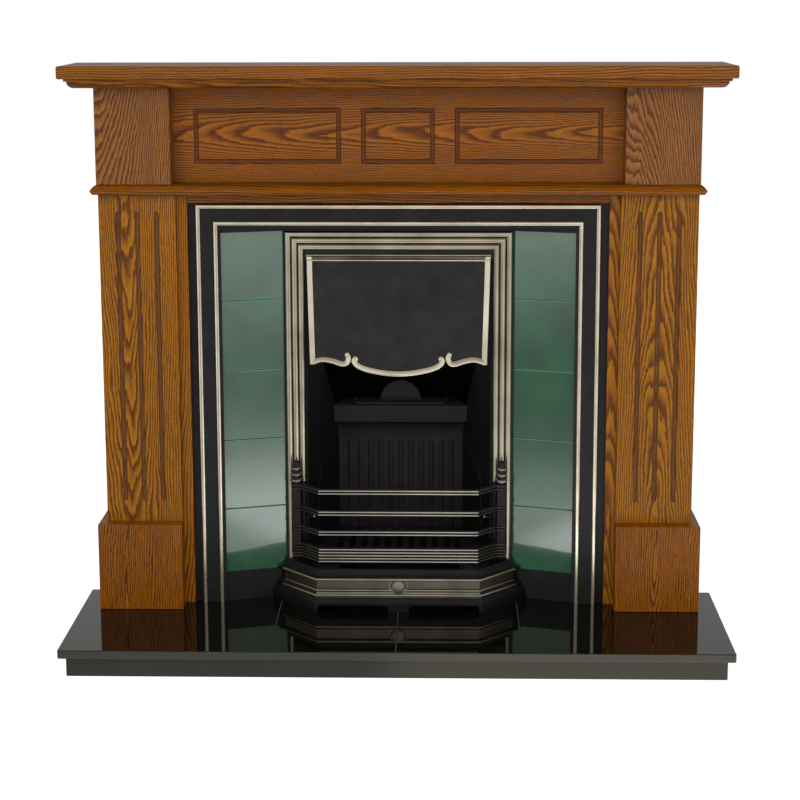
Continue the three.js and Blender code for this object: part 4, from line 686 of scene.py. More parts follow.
def eased_copy(node: bpy.types.Object, ease: float, steps: int = 2) -> bmesh.types.BMesh:
    """Copies a node's mesh, joins its triangles into faces and eases its sharp edges.

    Args:
        node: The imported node.
        ease: Width of the eased edge, in millimetres.
        steps: Faces across the eased edge.

    Returns:
        The eased mesh.
    """
    bm = bmesh.new()
    bm.from_mesh(node.data)
    bmesh.ops.remove_doubles(bm, verts=bm.verts, dist=NODE_MERGE * MM)
    bmesh.ops.dissolve_limit(bm, angle_limit=math.radians(LEVEL_UNDER), verts=bm.verts, edges=bm.edges)
    sharp_over = math.radians(SHARP_OVER)
    bmesh.ops.bevel(
        bm,
        geom=[edge for edge in bm.edges if edge.is_manifold and edge.calc_face_angle() > sharp_over],
        offset=ease * MM,
        offset_type="OFFSET",
        segments=steps,
        profile=0.5,
        affect="EDGES",
        clamp_overlap=True,
        material=-1,
    )
    return bm


@dataclass(frozen=True)
class Sweep:
    """A closed section drawn along a route, with a mitre at each corner."""

    section: Sequence[tuple[float, float]]  # left of the route, and up
    route: Sequence[Vector]  # corners, in metres
    up: Vector  # direction of the section's second value
    round_ends: tuple[float, float] = (0.0, 0.0)  # length of the first and last end; 0 is cut square
    end_turns: tuple[int, ...] = (25, 50, 72, 90)  # degrees at which a rounded end has a ring
    end_tip: float = 0.02  # share of the section that is left at the tip
    merge: float = 0.005

    def heading(self, i: int) -> Vector:
        """Direction of the route from one corner to the next."""
        return (self.route[i + 1] - self.route[i]).normalized()

    def mitre(self, i: int) -> Vector:
        """Works out the plane in which the section stands at a corner.

        Args:
            i: Number of the corner.

        Returns:
            The plane's normal.
        """
        last = len(self.route) - 1
        if i in (0, last):
            return self.heading(min(i, last - 1))
        return (self.heading(i - 1) + self.heading(i)).normalized()

    def stand(self, verts: Iterable[bmesh.types.BMVert], along: Vector, i: int) -> None:
        """Slides a ring into the plane of a corner.

        Args:
            verts: The ring.
            along: Direction in which it slides.
            i: Number of the corner.
        """
        plane = self.mitre(i)
        for vert in verts:
            vert.co += along * ((self.route[i] - vert.co).dot(plane) / along.dot(plane))

    @staticmethod
    def extended(bm: bmesh.types.BMesh, edges: list[bmesh.types.BMEdge]) -> Ring:
        """Extrudes a ring of edges.

        Args:
            bm: The mesh.
            edges: The ring's edges.

        Returns:
            Vertices and edges of the new ring.
        """
        grown = bmesh.ops.extrude_edge_only(bm, edges=edges)["geom"]
        verts = [item for item in grown if isinstance(item, bmesh.types.BMVert)]
        ends = set(verts)
        return verts, [e for e in bm.edges if e.verts[0] in ends and e.verts[1] in ends]

    def round_end(
        self, bm: bmesh.types.BMesh, edges: list[bmesh.types.BMEdge], along: Vector, length: float
    ) -> None:
        """Draws an end out to a rounded tip.

        Args:
            bm: The mesh.
            edges: Edges of the last ring.
            along: Direction in which the end points.
            length: Length of the rounding, in millimetres.
        """
        last = 1.0
        for turn in self.end_turns:
            verts, edges = self.extended(bm, edges)
            reach = math.sin(math.radians(turn)) - math.sqrt(max(0.0, 1 - last * last))
            bmesh.ops.translate(bm, verts=verts, vec=along * (reach * length * MM))
            size = max(math.cos(math.radians(turn)), self.end_tip)
            pivot = sum((vert.co for vert in verts), Vector()) / len(verts)
            bmesh.ops.scale(bm, verts=verts, vec=(size / last,) * 3, space=Matrix.Translation(-pivot))
            last = size

    def build(self) -> bmesh.types.BMesh:
        """Draws the section along the route.

        Returns:
            The swept mesh, closed at both ends.
        """
        bm = bmesh.new()
        start, finish = self.heading(0), self.heading(len(self.route) - 2)
        left = self.up.cross(start).normalized()
        corner = self.route[0]
        verts = [bm.verts.new(corner + left * (x * MM) + self.up * (y * MM)) for x, y in self.section]
        first = edges = [bm.edges.new(pair) for pair in zip(verts, verts[1:] + verts[:1])]
        self.stand(verts, start, 0)
        for i in range(1, len(self.route)):
            verts, edges = self.extended(bm, edges)
            self.stand(verts, self.heading(i - 1), i)
        for ring, along, length in zip((first, edges), (-start, finish), self.round_ends):
            if length:
                self.round_end(bm, ring, along, length)
        bmesh.ops.holes_fill(bm, edges=bm.edges, sides=0)
        bmesh.ops.remove_doubles(bm, verts=bm.verts, dist=self.merge * MM)
        bmesh.ops.recalc_face_normals(bm, faces=bm.faces)
        return bm


def half_round(start: float, width: float, foot: float, rise: float) -> Profile:
    """Section of a bead: a full half round that stands on a foot sunk into the casting.

    Args:
        start: Left edge of the bead.
        width: Its width.
        foot: Height at which the half round starts.
        rise: Its height over the foot.

    Returns:
        Points of the section, from left to right.
    """
    radius, sunk, fullness, steps = width / 2, foot - 1.0, 0.8, 12
    turns = [math.pi * (1 - i / steps) for i in range(steps + 1)]
    heights = [foot + rise * max(0.0, math.sin(turn)) ** fullness for turn in turns]
    arch = [(start + radius + radius * math.cos(turn), height) for turn, height in zip(turns, heights)]
    return [(start, sunk), *arch, (start + width, sunk)]


def outward(section: Profile) -> Profile:
    """Turns a section given as (height, reach) for a route that lies level."""
    return [(reach, height) for height, reach in section]


def turned(profile: Profile, foot: Vector, axis: Vector, steps: int = 40) -> bmesh.types.BMesh:
    """Spins a profile round an axis.

    Args:
        profile: Points as (radius, height along the axis), in millimetres.
        foot: Point of the axis at height 0, in metres.
        axis: Direction of the axis.
        steps: Faces round the piece.

    Returns:
        The turned mesh, closed at both poles.
    """
    bm = bmesh.new()
    side = axis.orthogonal().normalized()
    verts = [bm.verts.new(foot + side * (r * MM) + axis * (h * MM)) for r, h in profile]
    edges = [bm.edges.new(pair) for pair in zip(verts, verts[1:])]
    bmesh.ops.spin(
        bm,
        geom=verts + edges,
        cent=foot,
        axis=axis,
        angle=2 * math.pi,
        steps=steps,
        use_merge=True,
        use_duplicate=False,
    )
    bmesh.ops.remove_doubles(bm, verts=bm.verts, dist=POLE_MERGE * MM)
    bmesh.ops.recalc_face_normals(bm, faces=bm.faces)
    return bm


def squared(share: float, power: float = 0.55) -> float:
    """Fills out a sine or cosine, for a section between round and square."""
    return math.copysign(abs(share) ** power, share)


def smooth_line(points: Sequence[tuple[float, float]], steps: int) -> Profile:
    """Points evenly along a smooth curve through a few given ones.

    Args:
        points: The given points.
        steps: Spans between two of them.

    Returns:
        The points of the curve, both ends included.
    """
    padded = [points[0], *points, points[-1]]
    made: Profile = []
    for i in range(1, len(padded) - 2):
        p0, p1, p2, p3 = (Vector(p) for p in padded[i - 1 : i + 3])
        for t in (step / steps for step in range(steps)):
            curve = (2 * p0 - 5 * p1 + 4 * p2 - p3) * t * t
            bent = (p2 - p0) * t + curve + (3 * p1 - p0 - 3 * p2 + p3) * t**3
            made.append(tuple(p1 + bent / 2))
    return [*made, points[-1]]


# ------------------------------------------------------------------ the frame's fixed places


@dataclass(frozen=True)
class Datum:
    """Where the frame puts the wall and what stands on the hearth."""

    wall: float  # metres
    seat: float  # metres

    @classmethod
    def read(cls) -> Datum:
        """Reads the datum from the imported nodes."""
        return cls(wall=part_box("side_board_left")[1].y, seat=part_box("front_frame")[0].z)

    def at(self, x: float, out: float, z: float) -> Vector:
        """A point in metres, from millimetres across, out from the wall and up from the hearth."""
        return Vector((x * MM, self.wall - out * MM, self.seat + z * MM))


# ------------------------------------------------------------------ sub-assemblies


@dataclass
class Hearth:
    """Four polished granite slabs on honed risers."""

    nodes: Nodes
    arris: float = 0.6
    joint_drop: float = 0.2
    top_tilt: float = 0.5  # a slab is polished where it faces up at least this much

    def build(self) -> None:
        """Builds and dresses the slabs, the risers and the bed."""
        polished = POLISHED_GRANITE.material("polished_granite")
        honed = HONED_GRANITE.material("honed_granite")
        riser = RISER_GRANITE.material("riser_granite")
        mortar = MORTAR.material("mortar")
        self.fill_joints(mortar)
        for name, node in self.nodes.items():
            bm = eased_copy(node, self.arris)
            if "slab" in name:
                stone, materials, slot = "granite", [polished, honed], Slot.GRANITE
                for face in bm.faces:
                    face.material_index = 0 if face.normal.z > self.top_tilt else 1
            elif "riser" in name:
                stone, materials, slot = "granite", [riser], Slot.RISER
            else:
                stone, materials, slot = "mortar", [mortar], Slot.MORTAR
            thing = piece_from(bm, f"{stone}_{name}", materials)
            put_on(flatten_faces(thing), Body.FIXED, [name])

    def fill_joints(self, mortar: bpy.types.Material) -> None:
        """Fills the joints between neighbouring slabs, nearly flush with their tops.

        Args:
            mortar: Finish of the joints.
        """
        boxes = (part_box(name) for name in self.nodes if "slab" in name)
        slabs = sorted(boxes, key=lambda box: box[0].x)
        for i, (left, right) in enumerate(zip(slabs, slabs[1:]), start=1):
            low = Vector((left[1].x, left[0].y + self.joint_drop * MM, left[0].z))
            high = Vector((right[0].x, left[1].y, left[1].z - self.joint_drop * MM))
            bm = bmesh.new()
            bmesh.ops.create_cube(bm, size=1.0)
            bmesh.ops.scale(bm, verts=bm.verts, vec=high - low)
            bmesh.ops.translate(bm, verts=bm.verts, vec=(high + low) / 2)
            put_on(piece_from(bm, f"mortar_joint_{i}", [mortar]), Body.FIXED)


@dataclass(frozen=True)
class Board:
    """One oak board: how its grain runs, how it is toned and how much its edges are eased."""

    node: str
    grain: Grain
    tone: float = 1.0  # brightness of the stain
    hue: float = 0.5  # below 0.5 the stain is redder
    saturation: float = 1.0
    ease: float = 1.2
    lean: float = 0.06  # how far the tree's middle leans away for each unit of length
    unrest: float = 1.0  # how much its rings bend
    growth: float = 1.0  # how wide its rings are
    pith: float = 46.0  # from the board's middle back to the middle of the tree
    aside: float = 0.0  # from the board's middle to the side of the tree's
    figure: float = 1.0  # how dark its rings are stained


@dataclass
class OakSurround:
    """The oak surround, board by board."""

    nodes: Nodes
    # A cut is darkened by stain and by painted shade.
    face_depth: float = 0.25  # deeper than this below its face, a cut is stained dark
    cut_depth: float = 6.0
    cut_margin: float = 8.0  # nearer the board's outline than this, nothing is a cut
    cut_tilt: float = 0.2  # how far a cut's face may turn to the back

    def boards(self) -> list[Board]:
        """Lists the boards from the shelf down.

        Returns:
            The boards, in the order of their planks.
        """
        upright, across = Grain.UPRIGHT, Grain.ACROSS
        calm = {"lean": 0.03, "unrest": 0.5, "figure": 0.7}
        capital = {"lean": 0.13, "unrest": 0.65, "growth": 0.85, "pith": 150, "aside": 76, "figure": 0.72}
        frieze = {"lean": 0.04, "unrest": 0.42, "growth": 0.8, "aside": -12, "figure": 0.8}
        paired = [
            Board("capital", upright, 0.82, 0.495, 0.98, **capital),
            Board("pilaster", upright, 1.06, 0.5, 1.1, unrest=0.75, figure=0.82),
            Board("side_board", upright, 0.8),
            Board("rebate_board", upright, 0.7),
            Board("slip", upright, 1.06, 0.497, 1.12, 0.8, unrest=0.6, aside=30, figure=0.8),
            Board("plinth", upright, 0.91, 0.492, 1.46, 1.6),
        ]
        lying = [
            Board("mantel_shelf", across, 0.86, 0.493, 1.2, 1.8, aside=60, **calm),
            Board("cornice_board", across, 1.03, 0.493, 1.18, 0.8, aside=50, **calm),
            Board("frieze_board", across, 0.9, 0.491, 1.14, 0.6, **frieze),
            Board("neck_board", across, 0.88, 0.492, 1.12, 1.6, aside=60, **calm),
            Board("header_slip", across, 0.8, 0.493, 1.12, 0.8, aside=60, **calm),
            Board("back_rail", across, 0.8),
        ]
        return lying + [replace(board, node=f"{board.node}_{side}") for board in paired for side in SIDES]

    def build(self) -> None:
        """Builds and dresses each board."""
        for plank, board in enumerate(self.boards(), start=1):
            low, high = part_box(board.node)
            middle = (low + high) / 2
            materials = [OAK.material(f"oak_{board.node}", board, middle, plank)]
            bm = eased_copy(self.nodes[board.node], board.ease)
            # Flutes and grooves take a darker oak: stain, and painted shade in the cut.
            if board.node.startswith(("pilaster", "frieze")):
                materials.append(STAINED_SHADED_GROOVE_OAK.material(f"oak_stained_shaded_cuts_{board.node}", board, middle, plank))
                self.stain_and_shade_cuts(bm, low.y)
            thing = piece_from(bm, f"oak_{board.node}", materials)
            put_on(flatten_faces(thing), Body.FIXED, [board.node])

    def stain_and_shade_cuts(self, bm: bmesh.types.BMesh, front: float) -> None:
        """Gives the second finish, stain with painted shade, to the faces that lie in a flute or a routed
        groove.

        Args:
            bm: The board's mesh.
            front: Place of the board's face, in metres.
        """
        margin = self.cut_margin * MM
        spans = {axis: [vert.co[axis] for vert in bm.verts] for axis in (0, 2)}
        limits = {axis: (min(span) + margin, max(span) - margin) for axis, span in spans.items()}
        for face in bm.faces:
            centre = face.calc_center_median()
            inside = all(least < centre[axis] < most for axis, (least, most) in limits.items())
            is_deep = self.face_depth < (centre.y - front) / MM < self.cut_depth
            if inside and is_deep and face.normal.y < self.cut_tilt:
                face.material_index = 1


@dataclass(frozen=True)
class Casting:
    """One casting: its node, the body that it rides on, its finish and its slot."""

    node: str
    body: Body
    finish: bpy.types.Material
    slot: Slot = Slot.IRON


@dataclass
class Castings:
    """The plain castings of the insert and firebox, as eased copies of their nodes."""

    nodes: Nodes
    ease: float = 0.9
    sheet_ease: float = 0.4
    rosette_radius: float = 22.4
    fascia_set_back: float = 14.6  # behind the foot of the cover
    throat_wall: float = 6.0
    bead_over_knob: float = 15.0

    def castings(self) -> list[Casting]:
        """Makes the finishes and lists the castings.

        Returns:
            The castings, in the order in which they are built.
        """
        iron = IRON.material("blacked_iron")
        firebox = FIREBOX_IRON.material("blacked_firebox_iron")
        cover = COVER_IRON.material("blacked_cover_iron")
        # The cheeks' near black is soot with painted shade.
        cheek = SOOTY_SHADED_CHEEK_IRON.material("sooty_shaded_cheek_iron")
        bolt = POLISHED.material("polished_bolt_iron")
        sheet = SHEET_STEEL.material("black_sheet_steel")
        castings = [
            Casting("front_frame", Body.FIXED, iron),
            Casting("inner_frame", Body.FIXED, iron, Slot.POLISHED),
            Casting("fireback", Body.FIXED, firebox),
            Casting("fire_ledge", Body.FIXED, firebox),
            Casting("damper_flap", Body.DAMPER, firebox),
            Casting("bottom_grate", Body.GRATE, firebox),
            Casting("front_bars", Body.BARS, firebox),
            Casting("ashpan_cover", Body.COVER, cover),
            Casting("ash_pan", Body.PAN, sheet, Slot.SHEET),
        ]
        for side in SIDES:
            castings.append(Casting(f"tile_sleeve_{side}", Body.FIXED, iron))
            castings.append(Casting(f"cheek_{side}", Body.FIXED, cheek))
            castings.append(Casting(f"cheek_bolt_{side}", Body.FIXED, bolt, Slot.POLISHED))
        return castings

    def build(self) -> None:
        """Builds and dresses each casting on its own body."""
        for part in self.castings():
            bm = eased_copy(self.nodes[part.node], self.sheet_ease if part.slot is Slot.SHEET else self.ease)
            materials = [part.finish]
            if part.node == "ashpan_cover":
                materials.append(SATIN.material("satin_rosette_iron"))
                self.mark_rosette(bm)
            if part.node == "fire_ledge":
                # The throat's wall is near black: soot, and painted shade.
                materials.append(SOOT_AND_SHADE_IRON.material("soot_and_shade_throat_iron"))
                self.mark_shaded_throat(bm)
            thing = piece_from(bm, f"cast_{part.node}", materials)
            put_on(flatten_faces(thing), part.body, [part.node])

    def mark_shaded_throat(self, bm: bmesh.types.BMesh) -> None:
        """Gives the second finish, soot with painted shade, to the wall of the throat, behind the ledge.

        Args:
            bm: Mesh of the ledge and its wall.
        """
        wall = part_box("fire_ledge")[1].y - self.throat_wall * MM
        for face in bm.faces:
            face.material_index = 1 if face.calc_center_median().y > wall else 0

    def mark_rosette(self, bm: bmesh.types.BMesh) -> None:
        """Gives the second finish to the ring behind the knob of the cover.

        Args:
            bm: Mesh of the cover.
        """
        low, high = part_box("cover_knob")
        middle = (low + high) / 2
        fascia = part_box("ashpan_cover")[0].y + self.fascia_set_back * MM
        bead = middle.z + self.bead_over_knob * MM
        for face in bm.faces:
            centre = face.calc_center_median()
            radius = math.hypot(centre.x - middle.x, centre.z - middle.z) / MM
            if radius < self.rosette_radius and centre.y < fascia and centre.z < bead:
                face.material_index = 1


@dataclass
class Tiles:
    """Ten glazed tiles with softly rounded edges, whose upward-facing edges carry a painted highlight, a
    bright green glint.
    """

    nodes: Nodes
    edge: float = 1.4
    steps: int = 3
    glint_tilt: tuple[float, float] = (0.2, 0.98)  # how far up the faces of a top edge look
    shift: float = 137.0  # between the clouds of two tiles

    def build(self) -> None:
        """Builds and dresses each tile."""
        least, most = self.glint_tilt
        for number, (name, node) in enumerate(sorted(self.nodes.items())):
            bm = eased_copy(node, self.edge, self.steps)
            # Edge faces that look up take the painted highlight.
            for face in bm.faces:
                face.material_index = 1 if least < face.normal.z < most else 0
            glaze = GLAZE.material(f"green_glaze_{name}", self.shift * number)
            # thin is the painted highlight of the top edges.
            thin = GLINT_GLAZE.material(f"glint_glaze_{name}", self.shift * number)
            thing = piece_from(bm, f"glazed_{name}", [glaze, thin])
            put_on(flatten_faces(thing), Body.FIXED, [name])


@dataclass
class PolishedLines:
    """The bright ground beads and reeds of the frames, the bars and the ashpan cover."""

    datum: Datum
    frame_half: float = 425.0
    frame_top: float = 873.0
    frame_bead: float = 9.6
    frame_beads: tuple[tuple[str, float, float], ...] = (
        ("outer", -0.3, 88.0),
        ("inner", 35.7, 84.0),
    )  # start and face of each
    frame_rise: float = 4.6
    reed_count: int = 3
    reed_half: float = 246.0
    reed_top: float = 814.0
    reed_edge: float = 4.0
    reed_width: float = 11.6
    reed_gap: float = 2.1
    reed_face: float = 40.0
    reed_rise: float = 5.1
    bars_half: float = 170.0
    bars_face: float = 109.0
    post_outside: float = 231.0
    post_face: float = 68.0
    post_top: float = 263.0  # below it the two inner reeds of the frame are left black
    bar_height: float = 12.6
    bar_reeds: int = 2
    bar_middles: tuple[float, ...] = (165.0, 209.0, 256.0)
    band_foot: float = 98.7
    band_height: float = 33.3
    band_reeds: int = 5
    bar_rise: float = 3.1
    reed_margin: float = 1.0
    cover_half: float = 171.0
    cover_face: float = 120.0
    cover_run: float = 72.0
    cover_beads: tuple[tuple[str, float, float, float], ...] = (
        ("upper", 72.0, 6.0, 11.0),
        ("lower", 46.5, 4.0, 9.0),
        ("foot", 37.5, 5.0, 14.0),
    )  # top edge, size and foot of each
    cover_rise: float = 0.7  # height of a bead, as a share of its size
    fascia_heights: tuple[float, float] = (47.6, 64.4)
    fascia_face: float = 8.0
    fascia_thick: float = 1.0
    proud: float = 0.15

    def portal(self, half: float, top: float, low: float = 0.0) -> list[Vector]:
        """Route of a frame, up the right side, across and down the left one."""
        route = [(half, low), (half, top), (-half, top), (-half, low)]
        return [self.datum.at(x, 0, z) for x, z in route]

    def canted(self, half: float, face: float, run: float, z: float, tail: float = 0.0) -> list[Vector]:
        """Route of the bars or the cover: straight across, and back at 45 degrees.

        Args:
            half: Half the length of its straight front.
            face: How far the front stands out from the wall.
            run: How far the canted ends run back.
            z: Height of the route.
            tail: Length of the straight ends over the posts.

        Returns:
            The corners, from right to left.
        """
        route = [(half + run, face - run), (half, face), (-half, face), (-half - run, face - run)]
        if tail:
            ends = ((half + run + tail, face - run), (-half - run - tail, face - run))
            route = [ends[0], *route, ends[1]]
        return [self.datum.at(x, out, z) for x, out in route]

    def build(self) -> None:
        """Builds the lines of the two frames, the bars and the cover."""
        polished = POLISHED.material("polished_iron")
        self.build_frame_beads()
        self.build_frame_reeds(polished)
        self.build_bar_reeds()
        self.build_cover_lines(polished)

    def build_frame_beads(self) -> None:
        """Builds the two beads of the front frame."""
        border = BORDER.material("polished_bead_iron")
        route = self.portal(self.frame_half, self.frame_top)
        for name, start, face in self.frame_beads:
            section = half_round(start, self.frame_bead, face + self.proud, self.frame_rise)
            bm = Sweep(section, route, TO_ROOM).build()
            put_on(piece_from(bm, f"polished_{name}_bead", [border]), Body.FIXED)

    def build_frame_reeds(self, polished: bpy.types.Material) -> None:
        """Builds the reeds of the inner frame.

        Args:
            polished: Their finish.
        """
        for i in range(self.reed_count):
            start = self.reed_edge + i * (self.reed_width + self.reed_gap)
            section = half_round(start, self.reed_width, self.reed_face + self.proud, self.reed_rise)
            route = self.portal(self.reed_half, self.reed_top, self.post_top if i else 0.0)
            bm = Sweep(section, route, TO_ROOM).build()
            put_on(piece_from(bm, f"polished_frame_reed_{i + 1}", [polished]), Body.FIXED)

    def build_bar_reeds(self) -> None:
        """Builds the reeds of the three bars and the band, bright in front, with painted shade on the canted
        ends.
        """
        finishes = [BARS_FINISH.material("polished_bar_iron"), SHADED.material("shaded_bar_iron")]
        rows = [
            (f"bar_{i}", middle - self.bar_height / 2, self.bar_height, self.bar_reeds)
            for i, middle in enumerate(self.bar_middles, start=1)
        ]
        rows.append(("band", self.band_foot, self.band_height, self.band_reeds))
        run = self.bars_face - self.post_face
        tail = self.post_outside - self.bars_half - run
        for name, foot, height, count in rows:
            width = height / count
            wide = width - 2 * self.reed_margin
            route = self.canted(self.bars_half, self.bars_face, run, foot, tail)
            for i in range(count):
                reed = half_round(i * width + self.reed_margin, wide, self.proud, self.bar_rise)
                bm = Sweep(outward(reed), route, UP).build()
                # The canted ends take the second finish, painted shade.
                for face in bm.faces:
                    is_end = abs(face.calc_center_median().x) > self.bars_half * MM
                    face.material_index = 1 if is_end else 0
                thing = piece_from(bm, f"polished_{name}_reed_{i + 1}", finishes)
                put_on(thing, Body.BARS)

    def build_cover_lines(self, polished: bpy.types.Material) -> None:
        """Builds the beads of the ashpan cover and the fascia between them, dulled and darkened by painted
        shade.

        Args:
            polished: Finish of the beads.
        """
        route = self.canted(self.cover_half, self.cover_face, self.cover_run, 0)
        for name, top, size, foot in self.cover_beads:
            bead = half_round(top - size, size, foot + self.proud, size * self.cover_rise)
            bm = Sweep(outward(bead), route, UP).build()
            put_on(piece_from(bm, f"polished_cover_{name}_bead", [polished]), Body.COVER)
        low, high = self.fascia_heights
        out = self.fascia_face + self.proud
        back = out - self.fascia_thick
        bm = Sweep(outward([(low, back), (low, out), (high, out), (high, back)]), route, UP).build()
        # The fascia's darker grey is a duller grind and painted shade.
        dulled_and_shaded = DULLED_AND_SHADED.material("dulled_and_shaded_iron")
        put_on(piece_from(bm, "dulled_and_shaded_cover_fascia", [dulled_and_shaded]), Body.COVER)


@dataclass
class Hood:
    """The hood: a bellied plate inside a bright border that ends below in scrolls."""

    datum: Datum
    top_half: float = 196.0
    low_half: float = 189.5
    top: float = 761.0
    corner: float = 527.0
    border: float = 12.6
    thick: float = 5.0
    border_thick: float = 8.6
    border_middle: float = 4.3  # in front of the back of the plate
    border_steps: int = 24
    top_face: float = 36.0
    lean: float = 22.0
    belly: float = 30.0
    across_steps: int = 130
    up_steps: int = 96
    apron_reach: float = 32.0  # how far below the corners the plate may reach
    upright: Points = ((2.0, 1.4), (0.0, 14.0), (-0.6, 45.0))  # out from its line, down from the top
    upright_foot: float = 2.0
    upright_steps: int = 10
    shoulder: Points = ((184.2, 3.2), (163, 11), (140, 9), (119, 3.5), (109, 7), (105.5, 16), (108, 24))
    apron: Points = ((0, -15), (26, -13.5), (52, -9.5), (73, -4.5), (87, 2), (93, 9.5), (91, 16))
    scroll_steps: int = 6
    shoulder_curl: int = 6  # last points of a line that curl back inside the plate
    apron_curl: int = 4
    head_set: float = 3.0  # the head moulding stands in front of the plate
    head_height: float = 14.6
    head_sunk: float = 5.0
    head_bead: float = 4.2
    head_bead_rise: float = 2.8
    cove_top: tuple[float, float] = (10.4, 1.8)  # where the hollow starts and ends, down from the top
    cove_height: float = 8.0
    cove_sunk: float = 1.2
    cove_rise: float = 4.8
    cove_steps: int = 5
    lip: Points = ((1.6, 4.3), (0.6, 4.3), (0.0, 3.4))  # down from the top, and out
    strip_ease: float = 0.3
    strip_gap: float = 0.6

    def stand(self, x: float, z: float) -> float:
        """Works out how far the back of the hood stands out from the wall.

        Args:
            x: Place across.
            z: Height.

        Returns:
            The distance from the wall.
        """
        down = (self.top - z) / (self.top - self.corner)
        bow = math.sin(min(max(down, 0.0), 1.0) * math.pi / 2)
        return self.top_face + self.lean * down + self.belly * bow * (1 - (x / self.top_half) ** 2)

    def on_face(self, x: float, z: float, proud: float) -> Vector:
        """A point on the hood, a little in front of its back."""
        return self.datum.at(x, self.stand(x, z) + proud, z)

    def lines(self) -> dict[str, Profile]:
        """Draws the middle lines of the right half of the border.

        Returns:
            Points of the upright from the top, of the shoulder and of the apron.
        """
        inset = self.border / 2
        edge = self.top_half - inset
        upright = [(edge + out, self.top - down) for out, down in self.upright]
        upright.append((self.low_half - inset, self.corner + inset - self.upright_foot))
        lines = {"upright": smooth_line(upright, self.upright_steps)}
        for name, points in (("shoulder", self.shoulder), ("apron", self.apron)):
            lines[name] = smooth_line([(x, self.corner + z) for x, z in points], self.scroll_steps)
        return lines

    def outline(self) -> Profile:
        """Draws the outline of the plate, along the middle of its border.

        Returns:
            The outline, from the top right corner round to the top left one.
        """
        lines = self.lines()
        shoulder = lines["shoulder"][: -self.shoulder_curl]
        right = [*lines["upright"], *shoulder, *reversed(lines["apron"][: -self.apron_curl])]
        return right + [(-x, z) for x, z in reversed(right[:-1])]

    def build(self, node: bpy.types.Object) -> None:
        """Builds the plate, its border and the strip that it hangs on.

        Args:
            node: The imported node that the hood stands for.
        """
        # The plate's lighter grey is a painted reflection.
        iron = HOOD_IRON_PAINTED_SHEEN.material("hood_iron_painted_sheen")
        polished = BORDER.material("polished_hood_iron")
        put_on(piece_from(self.plate(), "hood_plate", [iron]), Body.HOOD, ["hood"])
        self.build_border(polished)
        self.build_head(polished)
        self.build_strip(node, iron)

    def build_border(self, polished: bpy.types.Material) -> None:
        """Builds the rolled border: the apron, and on each side an upright that ends in a scroll.

        Args:
            polished: Finish of the border.
        """
        half, half_thick = self.border / 2, self.border_thick / 2
        turns = [math.radians(360 * i / self.border_steps) for i in range(self.border_steps)]
        section = [(half * squared(math.cos(t)), half_thick * squared(math.sin(t))) for t in turns]
        lines = self.lines()
        apron = [(-x, z) for x, z in reversed(lines["apron"][1:])] + lines["apron"]
        routes = {"apron": (apron, (half, half))}
        for side, sign in SIDES.items():
            line = lines["upright"] + lines["shoulder"][1:]
            routes[f"scroll_{side}"] = ([(sign * x, z) for x, z in line], (0.0, half))
        for name, (line, rounding) in routes.items():
            route = [self.on_face(x, z, self.border_middle) for x, z in line]
            bm = Sweep(section, route, TO_ROOM, rounding).build()
            put_on(piece_from(bm, f"hood_{name}", [polished]), Body.HOOD)

    def plate(self) -> bmesh.types.BMesh:
        """Makes the bellied plate, trimmed along the middle of its border.

        Returns:
            The plate's mesh.
        """
        bm = bmesh.new()
        bmesh.ops.create_grid(bm, x_segments=self.across_steps, y_segments=self.up_steps, size=0.5)
        low = self.corner - self.apron_reach
        for vert in bm.verts:
            x = vert.co.x * 2 * self.top_half
            vert.co = self.on_face(x, low + (vert.co.y + 0.5) * (self.top - low), 0)
        outline = self.outline()
        outside = [face for face in bm.faces if not self.holds(outline, face.calc_center_median())]
        bmesh.ops.delete(bm, geom=outside, context="FACES")
        bmesh.ops.recalc_face_normals(bm, faces=bm.faces)
        if sum(face.normal.y for face in bm.faces) > 0:
            bmesh.ops.reverse_faces(bm, faces=bm.faces)
        bmesh.ops.translate(bm, verts=bm.verts, vec=(0, -self.thick * MM, 0))
        bmesh.ops.solidify(bm, geom=bm.faces, thickness=self.thick * MM)
        return bm

    def holds(self, outline: Profile, point: Vector) -> bool:
        """Whether an outline holds a point, seen from the front.

        Args:
            outline: Points of the outline.
            point: The point, in metres.

        Returns:
            True inside the outline.
        """
        x, z = point.x / MM, (point.z - self.datum.seat) / MM
        inside = False
        for (ax, az), (bx, bz) in zip(outline, outline[1:] + outline[:1]):
            if (az > z) != (bz > z) and x < ax + (z - az) * (bx - ax) / (bz - az):
                inside = not inside
        return inside

    def build_head(self, polished: bpy.types.Material) -> None:
        """Builds the moulding of the head: a bead, a hollow that is dulled and darkened by painted shade, and
        a lip.

        Args:
            polished: Finish of the bead and the lip.
        """
        front, top = self.top_face + self.thick + self.head_set, self.top
        foot, back = top - self.head_height, front - self.head_sunk
        bead = half_round(foot, self.head_bead, front, self.head_bead_rise)[1:-1]
        cove_foot, cove_front = top - self.cove_top[0], front - self.cove_sunk
        shares = [i / self.cove_steps for i in range(self.cove_steps + 1)]
        cove = [(cove_foot + self.cove_height * t, cove_front + self.cove_rise * t * t) for t in shares]
        lip = [(top - down, front + out) for down, out in self.lip]
        route = [self.datum.at(x, 0, 0) for x in (-self.top_half, self.top_half)]
        bm = Sweep([(foot, back), *bead, *cove, *lip, (top, back)], route, TO_ROOM).build()
        low, high = (self.datum.seat + (top - down) * MM for down in self.cove_top)
        # The hollow takes the dulled finish, darkened by painted shade.
        for face in bm.faces:
            face.material_index = 1 if low < face.calc_center_median().z < high else 0
        dulled_and_shaded = DULLED_AND_SHADED.material("dulled_and_shaded_hood_iron")
        put_on(piece_from(bm, "hood_head_moulding", [polished, dulled_and_shaded]), Body.HOOD)

